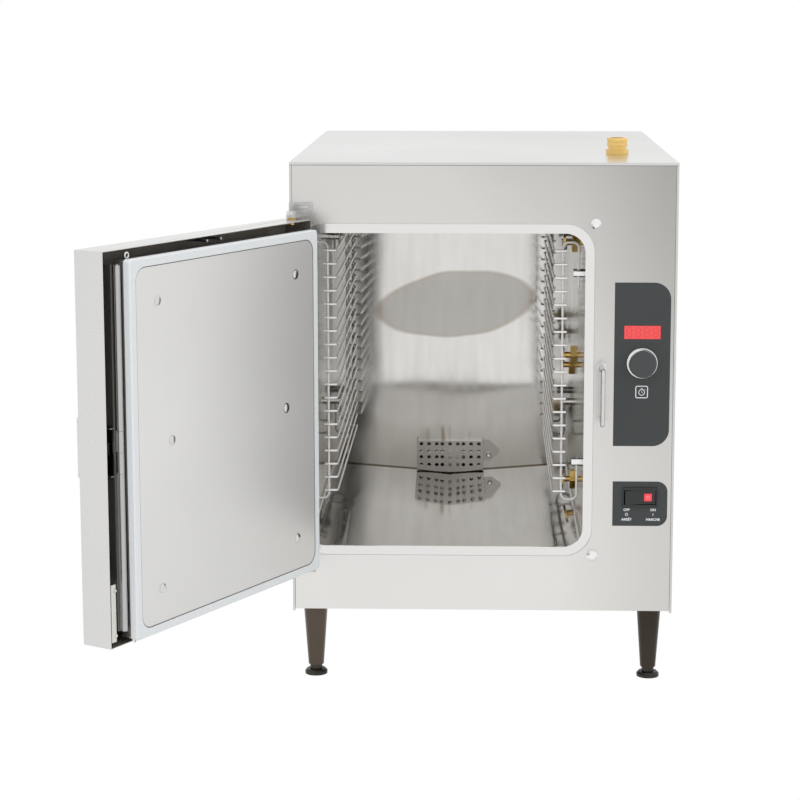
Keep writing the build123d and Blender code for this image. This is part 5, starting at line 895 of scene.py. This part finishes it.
# The stiffener inside the tray is painted near black: painted shade.
dark_inside = ground_steel("dark_inside", (0.10, 0.098, 0.095), (0.05, 0.049, 0.047), (0.35, 0.5),
                           COARSE_ACROSS)
white_plastic = dull_finish("white_plastic", (0.74, 0.74, 0.70), (0.68, 0.68, 0.64), (0.35, 0.45),
                            300, 0.00002)
dress(tray_steel(), "door_pan")
dress(dark_inside, "door_stiffener")
dress(plain_sheet, "latch_case", "liner_hinge_post", "float_posts")
dress(rod_steel, "latch_pawl", "handle_base", "door_handle", edge=0.0006)
dress(brass, "hinge_bushings", edge=0.0005)
dress(white_plastic, "switch_plate")
dress(dark_plastic, "door_magnet")

# ---- Floating liner: gasket, plate, back and rivets ----
# A moulded silicone gasket round a polished plate, riveted to a shallow tray that swings on its own hinge.
# The rivets have flanged, domed heads; a thin dark line shows where the plate meets the gasket.
DOOR_OPEN = math.radians(-119.5)
LINER_DRIFTS = (((0, 0, -1), -0.42, -0.20, 0.90),)
DOME_SHARE = 0.84
HEAD_SIDES = 28
HEAD_CREASE = 0.7
HEAD_SPACING = 0.03
RIVET_R = 0.0070
RIVET_DOME = 0.0021
RIVET_FLANGE = 0.0008
RIVET_PROUD = 0.0016
EDGE_LINE = 0.0010
EDGE_R = 0.0177
gasket_silicone = dull_finish("gasket_silicone", (0.74, 0.765, 0.78), (0.69, 0.715, 0.73), (0.45, 0.6),
                              500, 0.00003)
liner_steel = ground_steel("liner_steel", (0.775, 0.77, 0.757), (0.725, 0.72, 0.707), (0.30, 0.36),
                           (300, 300, 6), LINER_DRIFTS, metallic=0.5)
edge_shade = dull_finish("edge_shade", (0.16, 0.155, 0.15), (0.10, 0.097, 0.094), (0.5, 0.6), 300, 0.00001)
dress(gasket_silicone, "gasket", edge=0.0006)
dress(liner_steel, "liner_plate", edge=0.0005)
dress(plain_sheet, "liner_back")
dress(bright_steel, "corner_clips", edge=0.0008)


def domed_heads():
    """A node group that sets a flanged, domed rivet head on every point, all facing one way."""
    tree = bpy.data.node_groups.new("domed_heads", "GeometryNodeTree")
    group_socket(tree, "Places", "NodeSocketGeometry")
    group_socket(tree, "Radius", "NodeSocketFloat")
    group_socket(tree, "Height", "NodeSocketFloat")
    group_socket(tree, "Flange", "NodeSocketFloat")
    group_socket(tree, "Facing", "NodeSocketVector")
    group_socket(tree, "Finish", "NodeSocketMaterial")
    group_socket(tree, "Heads", "NodeSocketGeometry", "OUTPUT")
    entry = add_node(tree, "NodeGroupInput")
    inner = measured(tree, "MULTIPLY", entry.outputs["Radius"], DOME_SHARE)
    ball = add_node(tree, "GeometryNodeMeshUVSphere", Segments=HEAD_SIDES, Rings=HEAD_SIDES // 2, Radius=1.0)
    squat = add_node(tree, "ShaderNodeCombineXYZ", X=inner, Y=inner, Z=entry.outputs["Height"])
    dome = add_node(tree, "GeometryNodeTransform", Geometry=ball.outputs[0], Scale=squat.outputs[0])
    disc = add_node(tree, "GeometryNodeMeshCylinder", Vertices=HEAD_SIDES, Radius=entry.outputs["Radius"],
                    Depth=entry.outputs["Flange"])
    head = add_node(tree, "GeometryNodeJoinGeometry")
    for part in (dome, disc):
        tree.links.new(part.outputs[0], head.inputs[0])
    smooth = add_node(tree, "GeometryNodeSetShadeSmooth", i0=head.outputs[0])
    bend = add_node(tree, "GeometryNodeInputMeshEdgeAngle")
    sharp = add_node(tree, "FunctionNodeCompare", {"operation": "GREATER_THAN"},
                     i0=bend.outputs[0], i1=HEAD_CREASE)
    creased = add_node(tree, "GeometryNodeSetShadeSmooth", {"domain": "EDGE"},
                       Geometry=smooth.outputs[0], Selection=sharp.outputs[0], Shade_Smooth=False)
    turned = add_node(tree, "FunctionNodeAlignRotationToVector", {"axis": "Z"},
                      Vector=entry.outputs["Facing"])
    spots = add_node(tree, "GeometryNodeMeshToPoints", Mesh=entry.outputs["Places"])
    finish_copies(tree, entry, spots.outputs[0], creased.outputs[0], Rotation=turned.outputs[0])
    return tree


def head_spots(node, facing, proud):
    """Where a node's fixings meet their sheet: each one's middle, proud below its top along facing."""
    groups = []
    for corner in (vertex.co for vertex in nodes[node].data.vertices):
        group = next((g for g in groups if (g[0] - corner).length < HEAD_SPACING), None)
        if group is None:
            groups.append([corner.copy()])
        else:
            group.append(corner.copy())
    spots = []
    for group in groups:
        middle = (Vector(map(min, zip(*group))) + Vector(map(max, zip(*group)))) / 2
        top = max(corner.dot(facing) for corner in group)
        spots.append(middle + facing * (top - proud - middle.dot(facing)))
    return spots


head_tree = domed_heads()
liner_facing = Vector((-math.sin(DOOR_OPEN), math.cos(DOOR_OPEN), 0))
rivet_spots = head_spots("liner_rivets", liner_facing, RIVET_PROUD)
liner_heads = path_object("liner_rivet_heads", [[spot] for spot in rivet_spots])
run_tree(liner_heads, head_tree, Radius=RIVET_R, Height=RIVET_DOME, Flange=RIVET_FLANGE, Facing=liner_facing,
         Finish=rod_steel)
baked(liner_heads)
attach(liner_heads, "liner")
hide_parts("liner_rivets")

# The dark line is laid out on the plate as it stands with the door shut, and turned open with it.
swing = Matrix.Rotation(DOOR_OPEN, 4, "Z")
shut = [swing.inverted() @ vertex.co for vertex in nodes["liner_plate"].data.vertices]
plate_low, plate_high = Vector(map(min, zip(*shut))), Vector(map(max, zip(*shut)))
plate_middle, plate_half = (plate_low + plate_high) / 2, (plate_high - plate_low) / 2
rim = bmesh.new()
add_band(rim, plate_middle.x, plate_middle.z, plate_half.x, plate_half.z, EDGE_R, EDGE_LINE, plate_high.y)
bmesh.ops.transform(rim, matrix=swing, verts=rim.verts)
liner_edge = plain_piece("liner_edge_line", rim, edge_shade)
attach(liner_edge, "liner")

# ---- Studio: a pale floor, a white room and soft lamps ----
# The floor catches light and shadow; floor and room are white to the eye, to mirrors and to glass.
# The lamps don't show in mirrors, so that pale steel keeps its tone.
FLOOR_SIZE = 12.0
FLOOR_SPOT = (0.25, 0.3, -0.0005)
FLOOR_TONE = (0.86, 0.86, 0.86, 1)
ROOM_TONE = (1, 1, 0.995, 1)
ROOM_LIGHT = 0.88
LAMP_SIZE = 4.0


def seen_directly(tree):
    """A socket that is 1 for what the eye, a mirror or a glass sees."""
    path = add_node(tree, "ShaderNodeLightPath").outputs
    straight = measured(tree, "MAXIMUM", path["Is Camera Ray"], path["Is Transmission Ray"])
    return measured(tree, "MAXIMUM", straight, path["Is Glossy Ray"])


def soft_lamp(name, place, aim, watts):
    """A square softbox at place, turned towards aim."""
    lamp = bpy.data.lights.new(name, "AREA")
    lamp.shape = "SQUARE"
    lamp.size = LAMP_SIZE
    lamp.energy = watts
    holder = placed(name, lamp)
    holder.location = place
    holder.rotation_euler = (Vector(aim) - Vector(place)).to_track_quat("-Z", "Y").to_euler()
    holder.visible_glossy = False


world = bpy.data.worlds.new("studio_room")
bpy.context.scene.world = world
world.use_nodes = True
room = world.node_tree
room.nodes.clear()
shaded = add_node(room, "ShaderNodeBackground", Color=ROOM_TONE, Strength=ROOM_LIGHT)
plain = add_node(room, "ShaderNodeBackground", Color=opaque(WHITE), Strength=1.0)
add_node(room, "ShaderNodeOutputWorld",
         Surface=mixed(room, seen_directly(room), shaded.outputs[0], plain.outputs[0]))
bpy.context.scene.view_settings.view_transform = "Standard"

bpy.ops.mesh.primitive_plane_add(size=FLOOR_SIZE, location=FLOOR_SPOT)
floor = bpy.context.object
floor.name = "floor"
floor_finish, ground = blank_finish("pale_floor")
dull = add_node(ground, "ShaderNodeBsdfDiffuse", Color=FLOOR_TONE)
glow = add_node(ground, "ShaderNodeEmission", Color=opaque(WHITE), Strength=1.0)
coated(floor_finish, mixed(ground, seen_directly(ground), dull.outputs[0], glow.outputs[0]))
floor.data.materials.append(floor_finish)

soft_lamp("lamp_above", (0.3, -0.4, 3.4), (0.25, 0.2, 0.4), 22)
soft_lamp("lamp_left", (-3.1, -2.9, 2.1), (0.1, 0.0, 0.45), 34)
soft_lamp("lamp_right", (3.3, -3.1, 2.0), (0.3, 0.0, 0.45), 28)

# ---- Camera ----
# It stands about three metres in front of the cavity's opening and looks slightly down.
# A long lens keeps the cabinet's upright edges nearly parallel, and a small shift frames the whole oven.
CAMERA_SPOT = (0.2434, -3.0679, 0.9838)
SENSOR_MM = 36.0
LENS_MM = 96.875
SHIFT_X = -0.03
SHIFT_Y = -0.08
PITCH_DEG = 8.873
YAW_DEG = 1.569
eye = bpy.data.cameras.new("camera")
eye.sensor_width = SENSOR_MM
eye.lens = LENS_MM
eye.shift_x = SHIFT_X
eye.shift_y = SHIFT_Y
camera = placed("camera", eye)
camera.location = CAMERA_SPOT
camera.rotation_euler = (math.radians(90 - PITCH_DEG), 0, math.radians(YAW_DEG))
bpy.context.scene.camera = camera
